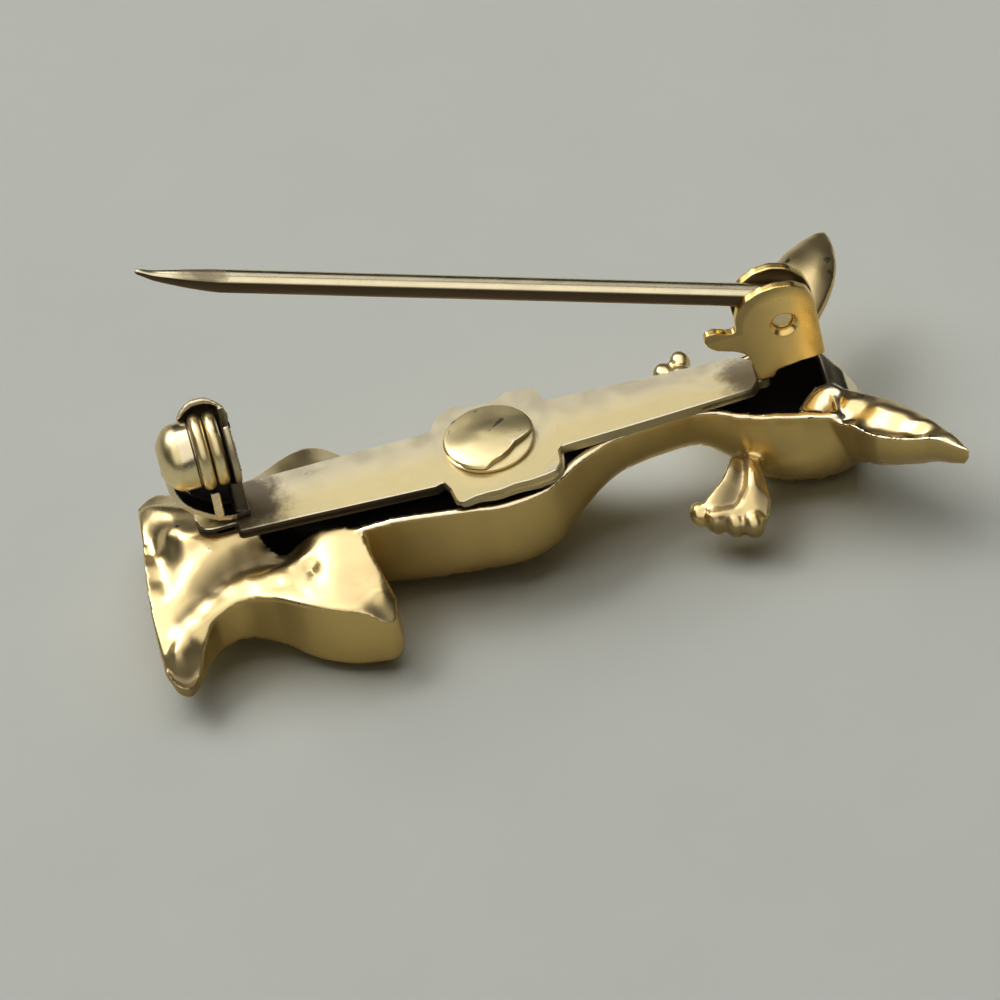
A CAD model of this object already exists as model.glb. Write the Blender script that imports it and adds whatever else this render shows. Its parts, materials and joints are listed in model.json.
"""Looks of a figural animal brooch that lies on its face with its pin standing open.

While a piece is modelled its lengths are millimetres in the frame's axes: X along the back bar towards
the head, Y to the far side and Z out of the brooch's back. A finished piece is brought to metres.
"""

import json
import logging
import math
from dataclasses import dataclass
from enum import Enum
from typing import Callable, NamedTuple, Sequence

import bpy
import numpy as np
from mathutils import Matrix, Vector


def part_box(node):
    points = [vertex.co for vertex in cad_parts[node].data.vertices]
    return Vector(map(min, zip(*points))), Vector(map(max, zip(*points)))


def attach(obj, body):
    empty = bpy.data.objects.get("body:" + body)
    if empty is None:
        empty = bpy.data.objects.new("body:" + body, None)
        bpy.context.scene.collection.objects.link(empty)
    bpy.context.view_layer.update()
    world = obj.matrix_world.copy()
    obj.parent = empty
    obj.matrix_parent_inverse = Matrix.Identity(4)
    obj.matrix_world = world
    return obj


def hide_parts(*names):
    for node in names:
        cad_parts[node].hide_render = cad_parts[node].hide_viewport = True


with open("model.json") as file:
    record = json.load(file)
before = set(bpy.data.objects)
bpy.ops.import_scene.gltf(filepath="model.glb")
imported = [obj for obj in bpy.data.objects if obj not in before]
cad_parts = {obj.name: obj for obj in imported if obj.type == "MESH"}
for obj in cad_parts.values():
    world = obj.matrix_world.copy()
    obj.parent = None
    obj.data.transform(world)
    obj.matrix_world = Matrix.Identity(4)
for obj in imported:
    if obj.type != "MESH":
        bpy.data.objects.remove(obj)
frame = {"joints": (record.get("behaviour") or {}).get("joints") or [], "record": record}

LOG = logging.getLogger("brooch")
MM = 0.001
MERGE = 0.002
FULL_TURN = 2 * math.pi

# How uneven the hollows' tarnish is, how far the rubbing reaches and how pale it is.
UNEVEN = 0.35
RUB_WIDTH = 0.11
RUB_SHARE = 0.7

Point = tuple[float, float]
Spot = tuple[float, float, float]


class Body(Enum):
    """Bodies that the pieces move with."""

    ROOT = "root"
    PIN = "pin"
    ROLLER = "roller"


class Axis(Enum):
    """Axes that a turned piece is spun about."""

    X = (1.0, 0.0, 0.0)
    Z = (0.0, 0.0, 1.0)


def deselect_all() -> None:
    """Deselect every object."""
    if bpy.context.object and bpy.context.object.mode != "OBJECT":
        bpy.ops.object.mode_set(mode="OBJECT")
    bpy.ops.object.select_all(action="DESELECT")


def activate(piece: bpy.types.Object) -> None:
    """Make a piece the only selected one and the active one.

    Args:
        piece: The object to work on.
    """
    deselect_all()
    piece.select_set(True)
    bpy.context.view_layer.objects.active = piece


def edit(piece: bpy.types.Object, kind: str = "VERT") -> None:
    """Open a piece in edit mode with nothing hidden.

    Args:
        piece: The object to edit.
        kind: What is picked, VERT, EDGE or FACE.
    """
    activate(piece)
    bpy.ops.object.mode_set(mode="EDIT")
    bpy.ops.mesh.select_mode(type=kind)


def close_edit() -> None:
    """Leave edit mode."""
    bpy.ops.object.mode_set(mode="OBJECT")


def places(piece: bpy.types.Object) -> np.ndarray:
    """Places of a mesh's vertices.

    Args:
        piece: A mesh object in object mode.

    Returns:
        An array with a row of X, Y and Z for each vertex.
    """
    flat = np.empty(len(piece.data.vertices) * 3)
    piece.data.vertices.foreach_get("co", flat)
    return flat.reshape(-1, 3)


def put(piece: bpy.types.Object, spots: np.ndarray) -> None:
    """Place a mesh's vertices.

    Args:
        piece: A mesh object in object mode.
        spots: A row of X, Y and Z for each vertex.
    """
    piece.data.vertices.foreach_set("co", spots.ravel())
    piece.data.update()


def normals(piece: bpy.types.Object) -> np.ndarray:
    """Directions that a piece's vertices face.

    Args:
        piece: The piece.

    Returns:
        A row for each vertex.
    """
    found = np.zeros(3 * len(piece.data.vertices))
    piece.data.vertex_normals.foreach_get("vector", found)
    return found.reshape(-1, 3)


def paint(piece: bpy.types.Object, amount: Sequence[float], name: str = "tarnish", domain: str = "POINT") -> None:
    """Lay tarnish or rubbing on a piece.

    Args:
        piece: The piece.
        amount: How much, from 0 to 1, for each vertex or face.
        name: What is laid, tarnish or rubbed.
        domain: POINT for vertices and FACE for faces.
    """
    layer = piece.data.attributes.new(name, "FLOAT", domain)
    layer.data.foreach_set("value", [float(value) for value in amount])


def reach_of(spots: np.ndarray, line: Sequence[Spot]) -> np.ndarray:
    """Distance of each vertex from a line of points.

    Args:
        spots: A row of X, Y and Z for each vertex.
        line: The points of the line.

    Returns:
        The distances.
    """
    nearest = np.full(len(spots), np.inf)
    for start, end in zip(np.array(line)[:-1], np.array(line)[1:]):
        along = end - start
        share = np.clip((spots - start) @ along / (along @ along), 0, 1)
        nearest = np.minimum(nearest, np.linalg.norm(spots - start - share[:, None] * along, axis=1))
    return nearest


def modify(piece: bpy.types.Object, kind: str, **settings: object) -> None:
    """Add a modifier to a piece and apply it.

    Args:
        piece: The object that takes the modifier.
        kind: The modifier's type.
        **settings: Its values by name.
    """
    activate(piece)
    modifier = piece.modifiers.new(kind.lower(), kind)
    for key, value in settings.items():
        setattr(modifier, key, value)
    bpy.ops.object.modifier_apply(modifier=modifier.name)


def cut(piece: bpy.types.Object, tool: bpy.types.Object, operation: str = "DIFFERENCE",
        solver: str = "EXACT") -> None:
    """Cut a tool out of a piece, or fuse it on, and remove the tool.

    Args:
        piece: The object that is cut.
        tool: The closed mesh that cuts it.
        operation: DIFFERENCE, UNION or INTERSECT.
        solver: The solver that works it out.
    """
    modify(piece, "BOOLEAN", operation=operation, object=tool, solver=solver)
    bpy.data.objects.remove(tool)


def fuse(pieces: Sequence[bpy.types.Object]) -> bpy.types.Object:
    """Join meshes into the first of them.

    Args:
        pieces: The mesh objects, the one that stays first.

    Returns:
        The joined object.
    """
    deselect_all()
    for piece in pieces:
        piece.select_set(True)
    bpy.context.view_layer.objects.active = pieces[0]
    bpy.ops.object.join()
    return pieces[0]


def weld(piece: bpy.types.Object) -> None:
    """Merge a mesh's doubles and turn its faces outwards.

    Args:
        piece: The mesh object.
    """
    edit(piece)
    bpy.ops.mesh.select_all(action="SELECT")
    bpy.ops.mesh.remove_doubles(threshold=MERGE)
    bpy.ops.mesh.normals_make_consistent(inside=False)
    close_edit()


def turn(piece: bpy.types.Object, angle: float, axis: str, about: Spot = (0.0, 0.0, 0.0)) -> None:
    """Turn a mesh about an axis through a point, by the right-hand rule.

    Args:
        piece: The mesh object.
        angle: Angle in radians.
        axis: X, Y or Z.
        about: The point on the axis.
    """
    matrix = Matrix.Translation(about) @ Matrix.Rotation(angle, 4, axis) @ Matrix.Translation(-Vector(about))
    piece.data.transform(matrix)


def plate(name: str, outline: Sequence[Point], low: float, thickness: float) -> bpy.types.Object:
    """A flat plate in the X-Y plane, extruded upwards from an outline.

    Args:
        name: Name of the object.
        outline: The corners in order.
        low: Height of its lower face.
        thickness: Its thickness.

    Returns:
        The closed mesh.
    """
    deselect_all()
    bpy.ops.mesh.primitive_circle_add(vertices=len(outline), fill_type="NGON")
    piece = bpy.context.object
    piece.name = name
    put(piece, np.array([(x, y, low) for x, y in outline]))
    edit(piece, "FACE")
    bpy.ops.mesh.select_all(action="SELECT")
    bpy.ops.mesh.extrude_region_move(TRANSFORM_OT_translate={"value": (0, 0, thickness)})
    close_edit()
    weld(piece)
    return piece


def block(name: str, x: Point, y: Point, radii: tuple[float, ...], low: float,
          thickness: float) -> bpy.types.Object:
    """A block whose upright edges are rounded.

    Args:
        name: Name of the object.
        x: Its two ends along X.
        y: Its two sides along Y.
        radii: Radii of its corners, anticlockwise from the lowest X and Y.
        low: Height of its lower face.
        thickness: Its height.

    Returns:
        The closed mesh.
    """
    corners = ((x[0], y[0]), (x[1], y[0]), (x[1], y[1]), (x[0], y[1]))
    return plate(name, rounded([(*corner, radius) for corner, radius in zip(corners, radii)]), low, thickness)


def chamfer_top(piece: bpy.types.Object, width: float, drop: float) -> None:
    """Chamfer the near edge of a piece's level top by an inset and a drop.

    Args:
        piece: The piece.
        width: How far the chamfer reaches in.
        drop: How far it goes down.
    """
    top = max(vertex.co.z for vertex in piece.data.vertices)
    for face in piece.data.polygons:
        face.select = all(piece.data.vertices[index].co.z > top - 1e-4 for index in face.vertices)
    edit(piece, "FACE")
    bpy.ops.mesh.inset(thickness=width, depth=0)
    close_edit()
    inner = {index for face in piece.data.polygons if face.select for index in face.vertices}
    for vertex in piece.data.vertices:
        if vertex.co.z > top - 1e-4 and vertex.co.y < 0 and vertex.index not in inner:
            vertex.co.z -= drop


def rounded(corners: Sequence[tuple[float, float, float]], steps: int = 6) -> list[Point]:
    """An outline with each corner rounded by an arc.

    Args:
        corners: X, Y and the radius of each corner, anticlockwise.
        steps: Parts of each arc.

    Returns:
        The points of the outline.
    """
    points: list[Point] = []
    for index, (x, y, radius) in enumerate(corners):
        here = Vector((x, y))
        before = Vector(corners[index - 1][:2]) - here
        after = Vector(corners[(index + 1) % len(corners)][:2]) - here
        half = before.angle(after) / 2
        back = min(radius / math.tan(half), 0.49 * before.length, 0.49 * after.length)
        if back < MERGE:
            points.append((x, y))
            continue
        start, end = here + before.normalized() * back, here + after.normalized() * back
        for step in range(steps + 1):
            share = step / steps
            bend = start.lerp(here, share).lerp(here.lerp(end, share), share)
            points.append((bend.x, bend.y))
    return points


def turned(name: str, profile: Sequence[Point], axis: Axis, steps: int = 72) -> bpy.types.Object:
    """A turned solid, spun from a profile that starts and ends on its axis.

    Args:
        name: Name of the object.
        profile: Place along the axis and radius of each point.
        axis: The axis that it is spun about.
        steps: Number of steps round.

    Returns:
        The closed mesh.
    """
    deselect_all()
    bpy.ops.mesh.primitive_circle_add(vertices=len(profile))
    piece = bpy.context.object
    piece.name = name
    along = Vector(axis.value)
    out = Vector((0, 1, 0))
    put(piece, np.array([along * a + out * max(r, 0.0) for a, r in profile]))
    edit(piece, "EDGE")
    bpy.ops.mesh.select_all(action="DESELECT")
    close_edit()
    for loose in piece.data.edges:
        loose.select = set(loose.vertices) == {0, len(profile) - 1}
    edit(piece, "EDGE")
    bpy.ops.mesh.delete(type="EDGE")
    bpy.ops.mesh.select_all(action="SELECT")
    bpy.ops.mesh.spin(steps=steps, angle=FULL_TURN, center=(0, 0, 0), axis=axis.value)
    close_edit()
    weld(piece)
    return piece


def rod(name: str, radius: float, ends: tuple[Spot, Spot], sides: int = 48) -> bpy.types.Object:
    """A round rod between two points.

    Args:
        name: Name of the object.
        radius: Its radius.
        ends: The middles of its two end faces.
        sides: Number of sides.

    Returns:
        The closed mesh.
    """
    start, end = Vector(ends[0]), Vector(ends[1])
    deselect_all()
    bpy.ops.mesh.primitive_cylinder_add(vertices=sides, radius=radius, depth=(end - start).length)
    piece = bpy.context.object
    piece.name = name
    turned_to = (end - start).to_track_quat("Z", "Y").to_matrix().to_4x4()
    piece.data.transform(Matrix.Translation((start + end) / 2) @ turned_to)
    return piece


def ball(name: str, middle: Spot, radii: Spot, rings: int = 24) -> bpy.types.Object:
    """A ball stretched along the axes.

    Args:
        name: Name of the object.
        middle: Its middle.
        radii: Its radii along X, Y and Z.
        rings: Number of rings.

    Returns:
        The closed mesh.
    """
    deselect_all()
    bpy.ops.mesh.primitive_uv_sphere_add(segments=2 * rings, ring_count=rings, radius=1)
    piece = bpy.context.object
    piece.name = name
    piece.data.transform(Matrix.Translation(middle) @ Matrix.Diagonal((*radii, 1)))
    return piece


def formed(name: str, rows: int, columns: int, form: Callable[[float, float], Spot]) -> bpy.types.Object:
    """A tube formed from a flat grid whose long sides meet, with its two ends filled.

    Args:
        name: Name of the object.
        rows: Steps along the tube.
        columns: Steps round it.
        form: Gives the place at a share along the tube and a share round it.

    Returns:
        The closed mesh.
    """
    deselect_all()
    bpy.ops.mesh.primitive_grid_add(x_subdivisions=rows, y_subdivisions=columns, size=1)
    piece = bpy.context.object
    piece.name = name
    flat = places(piece) + 0.5
    put(piece, np.array([form(x, y) for x, y, _ in flat]))
    edit(piece)
    bpy.ops.mesh.select_all(action="SELECT")
    bpy.ops.mesh.remove_doubles(threshold=MERGE)
    bpy.ops.mesh.fill_holes(sides=0)
    bpy.ops.mesh.select_all(action="SELECT")
    bpy.ops.mesh.normals_make_consistent(inside=False)
    close_edit()
    return piece


class Nodes:
    """A short way to write shader nodes."""

    def __init__(self, tree: bpy.types.NodeTree) -> None:
        """Start on a node tree."""
        self.tree = tree

    def add(self, kind: str, inputs: dict[object, object] | None = None, **settings: object) -> bpy.types.Node:
        """Add a node.

        Args:
            kind: Its type without the word ShaderNode.
            inputs: A value or a socket for each input, by name or number.
            **settings: The node's own settings.

        Returns:
            The node.
        """
        node = self.tree.nodes.new("ShaderNode" + kind)
        for key, value in settings.items():
            setattr(node, key, value)
        for key, value in (inputs or {}).items():
            if isinstance(value, bpy.types.NodeSocket):
                self.tree.links.new(value, node.inputs[key])
            else:
                node.inputs[key].default_value = value
        return node

    def maths(self, operation: str, first: object, second: object) -> bpy.types.NodeSocket:
        """Work out a number from two, each of them a value or a socket."""
        return self.add("Math", {0: first, 1: second}, operation=operation).outputs[0]

    def times(self, first: object, second: object) -> bpy.types.NodeSocket:
        """Multiply two numbers."""
        return self.maths("MULTIPLY", first, second)

    def plus(self, first: object, second: object) -> bpy.types.NodeSocket:
        """Add two numbers."""
        return self.maths("ADD", first, second)

    def less(self, first: object, second: object) -> bpy.types.NodeSocket:
        """Take the second number from the first."""
        return self.maths("SUBTRACT", first, second)

    def larger(self, first: object, second: object) -> bpy.types.NodeSocket:
        """The larger of two numbers."""
        return self.maths("MAXIMUM", first, second)

    def where(self) -> bpy.types.NodeSocket:
        """Place on the object."""
        return self.add("TexCoord").outputs["Object"]

    def noise(self, where: object, scale: object, detail: float, roughness: float) -> bpy.types.NodeSocket:
        """Soft noise of a scale, detail and roughness."""
        texture = self.add("TexNoise", {"Vector": where, "Scale": scale, "Detail": detail, "Roughness": roughness})
        return texture.outputs["Fac"]

    def ramp(self, value: object, low: float, high: float, out_low: float = 0.0,
             out_high: float = 1.0) -> bpy.types.NodeSocket:
        """Map a range of values smoothly to another.

        Args:
            value: The socket that is mapped.
            low: Value that gives out_low.
            high: Value that gives out_high.
            out_low: Result at low.
            out_high: Result at high.

        Returns:
            The mapped value.
        """
        span = {"Value": value, "From Min": low, "From Max": high, "To Min": out_low, "To Max": out_high}
        return self.add("MapRange", span, interpolation_type="SMOOTHSTEP").outputs["Result"]

    def blend(self, factor: object, first: object, second: object) -> bpy.types.NodeSocket:
        """Mix two colours.

        Args:
            factor: Share of the second.
            first: First colour.
            second: Second colour.

        Returns:
            The mixed colour.
        """
        node = self.add("Mix", {"Factor": factor}, data_type="RGBA")
        for key, value in ((6, first), (7, second)):
            if isinstance(value, bpy.types.NodeSocket):
                self.tree.links.new(value, node.inputs[key])
            else:
                node.inputs[key].default_value = value
        return node.outputs[2]


def new_group(name: str, inputs: Sequence[tuple[str, float]], outputs: Sequence[str]) -> tuple[
        bpy.types.NodeTree, Nodes, bpy.types.Node, bpy.types.Node]:
    """An empty shader group.

    Args:
        name: Name of the group.
        inputs: Name and usual value of each number that goes in.
        outputs: Name of each number that comes out.

    Returns:
        The group, its writer, its input node and its output node.
    """
    tree = bpy.data.node_groups.new(name, "ShaderNodeTree")
    for label, value in inputs:
        socket = tree.interface.new_socket(label, in_out="INPUT", socket_type="NodeSocketFloat")
        socket.default_value = value
    for label in outputs:
        tree.interface.new_socket(label, in_out="OUTPUT", socket_type="NodeSocketFloat")
    return tree, Nodes(tree), tree.nodes.new("NodeGroupInput"), tree.nodes.new("NodeGroupOutput")


def grain_group() -> bpy.types.NodeTree:
    """Satin grain of worn plating: a fine height and a soft unevenness.

    Returns:
        The group, with the grain's size in millimetres going in.
    """
    tree, nodes, given, out = new_group("satin_grain", (("Size", 0.1),), ("Height", "Cloud"))
    where = nodes.where()
    scale = nodes.maths("DIVIDE", 1 / MM, given.outputs["Size"])
    tree.links.new(nodes.noise(where, scale, 3.0, 0.6), out.inputs["Height"])
    cloud = nodes.noise(where, nodes.times(scale, 0.06), 4.0, 0.55)
    tree.links.new(nodes.ramp(cloud, 0.3, 0.7), out.inputs["Cloud"])
    return tree


def lumps_group() -> bpy.types.NodeTree:
    """Broad hammered or cast lumps.

    Returns:
        The group, with the lumps' size in millimetres going in.
    """
    tree, nodes, given, out = new_group("cast_lumps", (("Size", 1.0),), ("Height",))
    scale = nodes.maths("DIVIDE", 1 / MM, given.outputs["Size"])
    tree.links.new(nodes.noise(nodes.where(), scale, 1.5, 0.4), out.inputs["Height"])
    return tree


def hollow_group() -> bpy.types.NodeTree:
    """Dirt and tarnish that gathers where little light reaches.

    Returns:
        The group, with the reach in metres and an unevenness going in.
    """
    tree, nodes, given, out = new_group("hollow_tarnish", (("Reach", 0.001), ("Uneven", 0.3)), ("Mask",))
    shade = nodes.add("AmbientOcclusion", {"Distance": given.outputs["Reach"]}, samples=8, only_local=True)
    spots = nodes.noise(nodes.where(), 0.9 / MM, 4.0, 0.6)
    shift = nodes.times(nodes.less(spots, 0.5), given.outputs["Uneven"])
    open_to_light = nodes.plus(shade.outputs["AO"], shift)
    tree.links.new(nodes.ramp(open_to_light, 0.15, 0.75, 1.0, 0.0), out.inputs["Mask"])
    return tree


def edge_group() -> bpy.types.NodeTree:
    """Rubbed edges, brighter and smoother than the faces beside them.

    Returns:
        The group, with the width of the rubbing going in.
    """
    tree, nodes, given, out = new_group("rubbed_edges", (("Width", 0.05),), ("Mask",))
    point = nodes.add("NewGeometry").outputs["Pointiness"]
    high = nodes.plus(0.5, given.outputs["Width"])
    node = nodes.add("MapRange", {"Value": point, "From Min": 0.54, "From Max": high})
    tree.links.new(node.outputs["Result"], out.inputs["Mask"])
    return tree


def upright_group() -> bpy.types.NodeTree:
    """Faces that stand upright, which are rubbed less than the level ones.

    Returns:
        The group.
    """
    tree, nodes, _, out = new_group("upright_faces", (), ("Mask",))
    normal = nodes.add("NewGeometry").outputs["True Normal"]
    height = nodes.add("SeparateXYZ", {"Vector": normal}).outputs["Z"]
    tree.links.new(nodes.ramp(nodes.maths("ABSOLUTE", height, 0.0), 0.25, 0.5, 1.0, 0.0), out.inputs["Mask"])
    return tree


@dataclass(frozen=True)
class Stain:
    """A soft dark stain on a finish.

    Attributes:
        middle: Its middle in millimetres.
        reach: How far it reaches along X, Y and Z in millimetres.
        strength: How dark it is at its middle, from 0 to 1.
    """

    middle: Spot
    reach: Spot
    strength: float


@dataclass(frozen=True)
class MetalFinish:
    """A plated metal finish.

    Attributes:
        name: Name of the material and of its slot.
        colour: Colour of the clean plating.
        worn: Colour of the cloudy, worn plating.
        tarnish: Colour in the hollows and stains.
        roughness: Roughness of the clean plating.
        cloud_roughness: What the clouds add to the roughness.
        grain_mm: Size of the fine grain.
        grain_height_mm: Height of the fine grain.
        lump_mm: Size of the cast lumps.
        lump_height_mm: Height of the cast lumps.
        wear: How much of the clouds shows, from 0 to 1.
        hollow: How much of the hollows' tarnish shows, from 0 to 1.
        reach_mm: How wide the hollows are that gather tarnish.
        edge: How much the edges are rubbed bright, from 0 to 1.
        stains: Dark stains at their places.
        painted: How much of the painted tarnish shows, from 0 to 1.
        sides: How much the upright faces are tarnished, from 0 to 1.
        level: How much the level faces are rubbed pale, from 0 to 1.
    """

    name: str
    colour: Spot
    worn: Spot
    tarnish: Spot
    roughness: float
    cloud_roughness: float = 0.08
    grain_mm: float = 0.08
    grain_height_mm: float = 0.002
    lump_mm: float = 1.2
    lump_height_mm: float = 0.0
    wear: float = 0.5
    hollow: float = 0.8
    reach_mm: float = 1.0
    edge: float = 0.5
    stains: tuple[Stain, ...] = ()
    painted: float = 0.0
    sides: float = 0.0
    level: float = 0.0

    def stain_mask(self, nodes: Nodes) -> object:
        """Where the stains are.

        Args:
            nodes: Writer of the material's nodes.

        Returns:
            A socket, or 0 if there is no stain.
        """
        total: object = 0.0
        where = nodes.where()
        shift = nodes.times(nodes.less(nodes.noise(where, 1.1 / MM, 5.0, 0.65), 0.5), 1.1)
        for stain in self.stains:
            size = tuple(1 / (reach * MM) for reach in stain.reach)
            offset = tuple(-m * MM * s for m, s in zip(stain.middle, size))
            local = nodes.add("Mapping", {"Vector": where, "Location": offset, "Scale": size})
            away = nodes.add("VectorMath", {0: local.outputs[0]}, operation="LENGTH").outputs["Value"]
            spot = nodes.ramp(nodes.plus(away, shift), 0.35, 1.05, stain.strength, 0.0)
            total = nodes.larger(spot, total)
        return total

    def build(self, groups: dict[str, bpy.types.NodeTree]) -> bpy.types.Material:
        """Make the material.

        Args:
            groups: The shared effects by name.

        Returns:
            The material.
        """
        material = bpy.data.materials.new(self.name)
        material.use_nodes = True
        nodes = Nodes(material.node_tree)
        shader = material.node_tree.nodes["Principled BSDF"]
        shader.inputs["Metallic"].default_value = 1.0

        def group(name: str, **values: float) -> bpy.types.Node:
            """Place a shared effect.

            Args:
                name: The effect.
                **values: Its inputs by name.

            Returns:
                Its node.
            """
            node = nodes.add("Group", node_tree=groups[name])
            for key, value in values.items():
                node.inputs[key].default_value = value
            return node

        grain = group("satin_grain", Size=self.grain_mm)
        hollow = group("hollow_tarnish", Reach=self.reach_mm * MM, Uneven=UNEVEN)
        edges = group("rubbed_edges", Width=RUB_WIDTH)
        cloud = nodes.times(grain.outputs["Cloud"], self.wear)
        base = nodes.blend(cloud, (*self.colour, 1.0), (*self.worn, 1.0))
        bright = tuple(mix(value, pale, RUB_SHARE) for value, pale in zip(self.colour, RUBBED))
        flat = nodes.less(1.0, group("upright_faces").outputs["Mask"])
        rubbed = nodes.times(nodes.times(edges.outputs["Mask"], self.edge), flat)
        rubbed = nodes.larger(rubbed, nodes.add("Attribute", attribute_name="rubbed").outputs["Fac"])
        if self.level:
            base = nodes.blend(nodes.times(flat, self.level), base, (*RUBBED, 1.0))
        base = nodes.blend(rubbed, base, (*bright, 1.0))
        dark = nodes.times(hollow.outputs["Mask"], self.hollow)
        if self.stains:
            dark = nodes.larger(dark, self.stain_mask(nodes))
        if self.painted:
            laid = nodes.add("Attribute", attribute_name="tarnish").outputs["Fac"]
            dark = nodes.larger(dark, nodes.times(laid, self.painted))
        if self.sides:
            side = nodes.times(group("upright_faces").outputs["Mask"], self.sides)
            dark = nodes.larger(dark, nodes.times(side, nodes.less(1.0, rubbed)))
        base = nodes.blend(dark, base, (*self.tarnish, 1.0))
        links = material.node_tree.links
        links.new(base, shader.inputs["Base Color"])
        links.new(nodes.less(1.0, nodes.times(dark, 0.5)), shader.inputs["Metallic"])
        rough = nodes.times(grain.outputs["Cloud"], self.cloud_roughness)
        rough = nodes.plus(rough, self.roughness)
        rough = nodes.plus(rough, nodes.times(dark, 0.2))
        rough = nodes.less(rough, nodes.times(rubbed, 0.5 * self.roughness))
        links.new(rough, shader.inputs["Roughness"])
        height = nodes.times(grain.outputs["Height"], self.grain_height_mm * MM)
        if self.lump_height_mm:
            lumps = group("cast_lumps", Size=self.lump_mm)
            height = nodes.plus(height, nodes.times(lumps.outputs["Height"], self.lump_height_mm * MM))
        bump = nodes.add("Bump", {"Height": height, "Strength": 1.0, "Distance": 1.0})
        links.new(bump.outputs["Normal"], shader.inputs["Normal"])
        return material


RUBBED = (1.0, 0.93, 0.78)
CAST_GOLD = (0.87, 0.65, 0.26)
WORN_GOLD = (0.79, 0.60, 0.27)
DEEP_GOLD = (0.98, 0.72, 0.28)
BROWN_TARNISH = (0.09, 0.065, 0.045)
BLACK_TARNISH = (0.028, 0.024, 0.028)

FINISHES: dict[str, MetalFinish] = {
    finish.name: finish
    for finish in (
        MetalFinish(
            "cast_gold", CAST_GOLD, WORN_GOLD, BLACK_TARNISH, roughness=0.27, cloud_roughness=0.07,
            grain_mm=0.1, grain_height_mm=0.0015, lump_mm=1.5, lump_height_mm=0.015, wear=0.35, hollow=0.6,
            reach_mm=1.6, edge=0.9, painted=0.97, sides=0.22, level=0.25),
        MetalFinish(
            "bar_brass", (0.72, 0.62, 0.36), (0.66, 0.56, 0.33), BROWN_TARNISH, roughness=0.42,
            cloud_roughness=0.06, grain_mm=0.06, grain_height_mm=0.0025, lump_mm=2.5, lump_height_mm=0.006,
            wear=0.6, hollow=0.2, reach_mm=0.6, edge=0.7, painted=0.95,
            stains=(Stain((-13.4, 0.1, 5.7), (2.2, 2.4, 1.5), strength=0.85),
                    Stain((10.4, -0.3, 5.7), (1.6, 1.8, 1.5), strength=0.75))),
        MetalFinish(
            "rivet_brass", (0.76, 0.64, 0.37), (0.70, 0.60, 0.36), BROWN_TARNISH, roughness=0.34,
            cloud_roughness=0.06, grain_mm=0.07, grain_height_mm=0.002, lump_mm=1.4, lump_height_mm=0.02,
            wear=0.6, hollow=0.6, reach_mm=0.8, edge=0.7),
        MetalFinish(
            "bracket_gold", DEEP_GOLD, (0.90, 0.68, 0.30), BROWN_TARNISH, roughness=0.24, cloud_roughness=0.08,
            grain_mm=0.09, grain_height_mm=0.0015, lump_mm=1.6, lump_height_mm=0.012, wear=0.6, hollow=0.7,
            reach_mm=0.7, edge=0.9, painted=0.9),
        MetalFinish(
            "axle_metal", (0.80, 0.68, 0.42), (0.74, 0.66, 0.48), BROWN_TARNISH, roughness=0.26,
            cloud_roughness=0.08, grain_mm=0.06, grain_height_mm=0.002, lump_mm=0.8, lump_height_mm=0.015,
            wear=0.5, hollow=0.7, reach_mm=0.5, edge=0.6,
            stains=(Stain((12.5, -1.9, 8.95), (0.7, 0.8, 0.5), strength=0.9),)),
        MetalFinish(
            "pin_gold", (0.98, 0.88, 0.62), (0.94, 0.84, 0.60), (0.10, 0.055, 0.018), roughness=0.2,
            cloud_roughness=0.06, grain_mm=0.07, grain_height_mm=0.001, lump_mm=1.5, lump_height_mm=0.004,
            wear=0.3, hollow=0.1, reach_mm=0.5, edge=0.4, painted=0.95,
            stains=(Stain((-13.3, 0, 20.0), (1.6, 1.5, 1.5), strength=0.6),)),
        MetalFinish(
            "catch_band", (0.92, 0.80, 0.54), (0.80, 0.68, 0.48), BLACK_TARNISH, roughness=0.26,
            cloud_roughness=0.1, grain_mm=0.06, grain_height_mm=0.002, lump_mm=0.9, lump_height_mm=0.02,
            wear=0.8, hollow=0.85, reach_mm=0.8, edge=0.9, painted=0.97,
            stains=(Stain((-13.3, 0.2, 9.3), (0.75, 3.2, 3.6), strength=0.5),
                    Stain((-14.3, 0.8, 7.3), (1.5, 1.7, 1.35), strength=0.95))),
        MetalFinish(
            "catch_barrel", (0.86, 0.72, 0.42), (0.78, 0.65, 0.38), BROWN_TARNISH, roughness=0.31,
            cloud_roughness=0.08, grain_mm=0.06, grain_height_mm=0.002, lump_mm=0.9, lump_height_mm=0.015,
            wear=0.6, hollow=0.85, reach_mm=0.5, edge=0.6),
    )
}


class Workshop:
    """Keeps the materials and hands finished pieces over to the frame."""

    def __init__(self) -> None:
        """Build the shared effects and every finish."""
        groups = {"satin_grain": grain_group(), "cast_lumps": lumps_group(), "hollow_tarnish": hollow_group(),
                  "rubbed_edges": edge_group(), "upright_faces": upright_group()}
        self.materials = {name: finish.build(groups) for name, finish in FINISHES.items()}

    def hand_over(self, piece: bpy.types.Object, name: str, body: Body, finish: str,
                  nodes: Sequence[str] = (), sharp: float = 35.0) -> None:
        """Bring a finished piece to metres, dress it and set it on its body.

        Args:
            piece: The mesh object, modelled in millimetres.
            name: Its final name.
            body: The body that it moves with.
            finish: Name of its finish and material slot.
            nodes: The frame's nodes that it stands for.
            sharp: Angle in degrees above which an edge stays sharp.
        """
        piece.name = name
        piece.data.name = name
        piece.data.transform(Matrix.Scale(MM, 4))
        activate(piece)
        bpy.ops.object.shade_smooth_by_angle(angle=math.radians(sharp))
        if sharp < 180:
            modify(piece, "WEIGHTED_NORMAL", keep_sharp=True, weight=80)
        piece.data.materials.clear()
        piece.data.materials.append(self.materials[finish])
        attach(piece, body.value)
        if nodes:
            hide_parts(*nodes)
        LOG.info("%s: %d faces on %s", name, len(piece.data.polygons), body.value)


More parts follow.
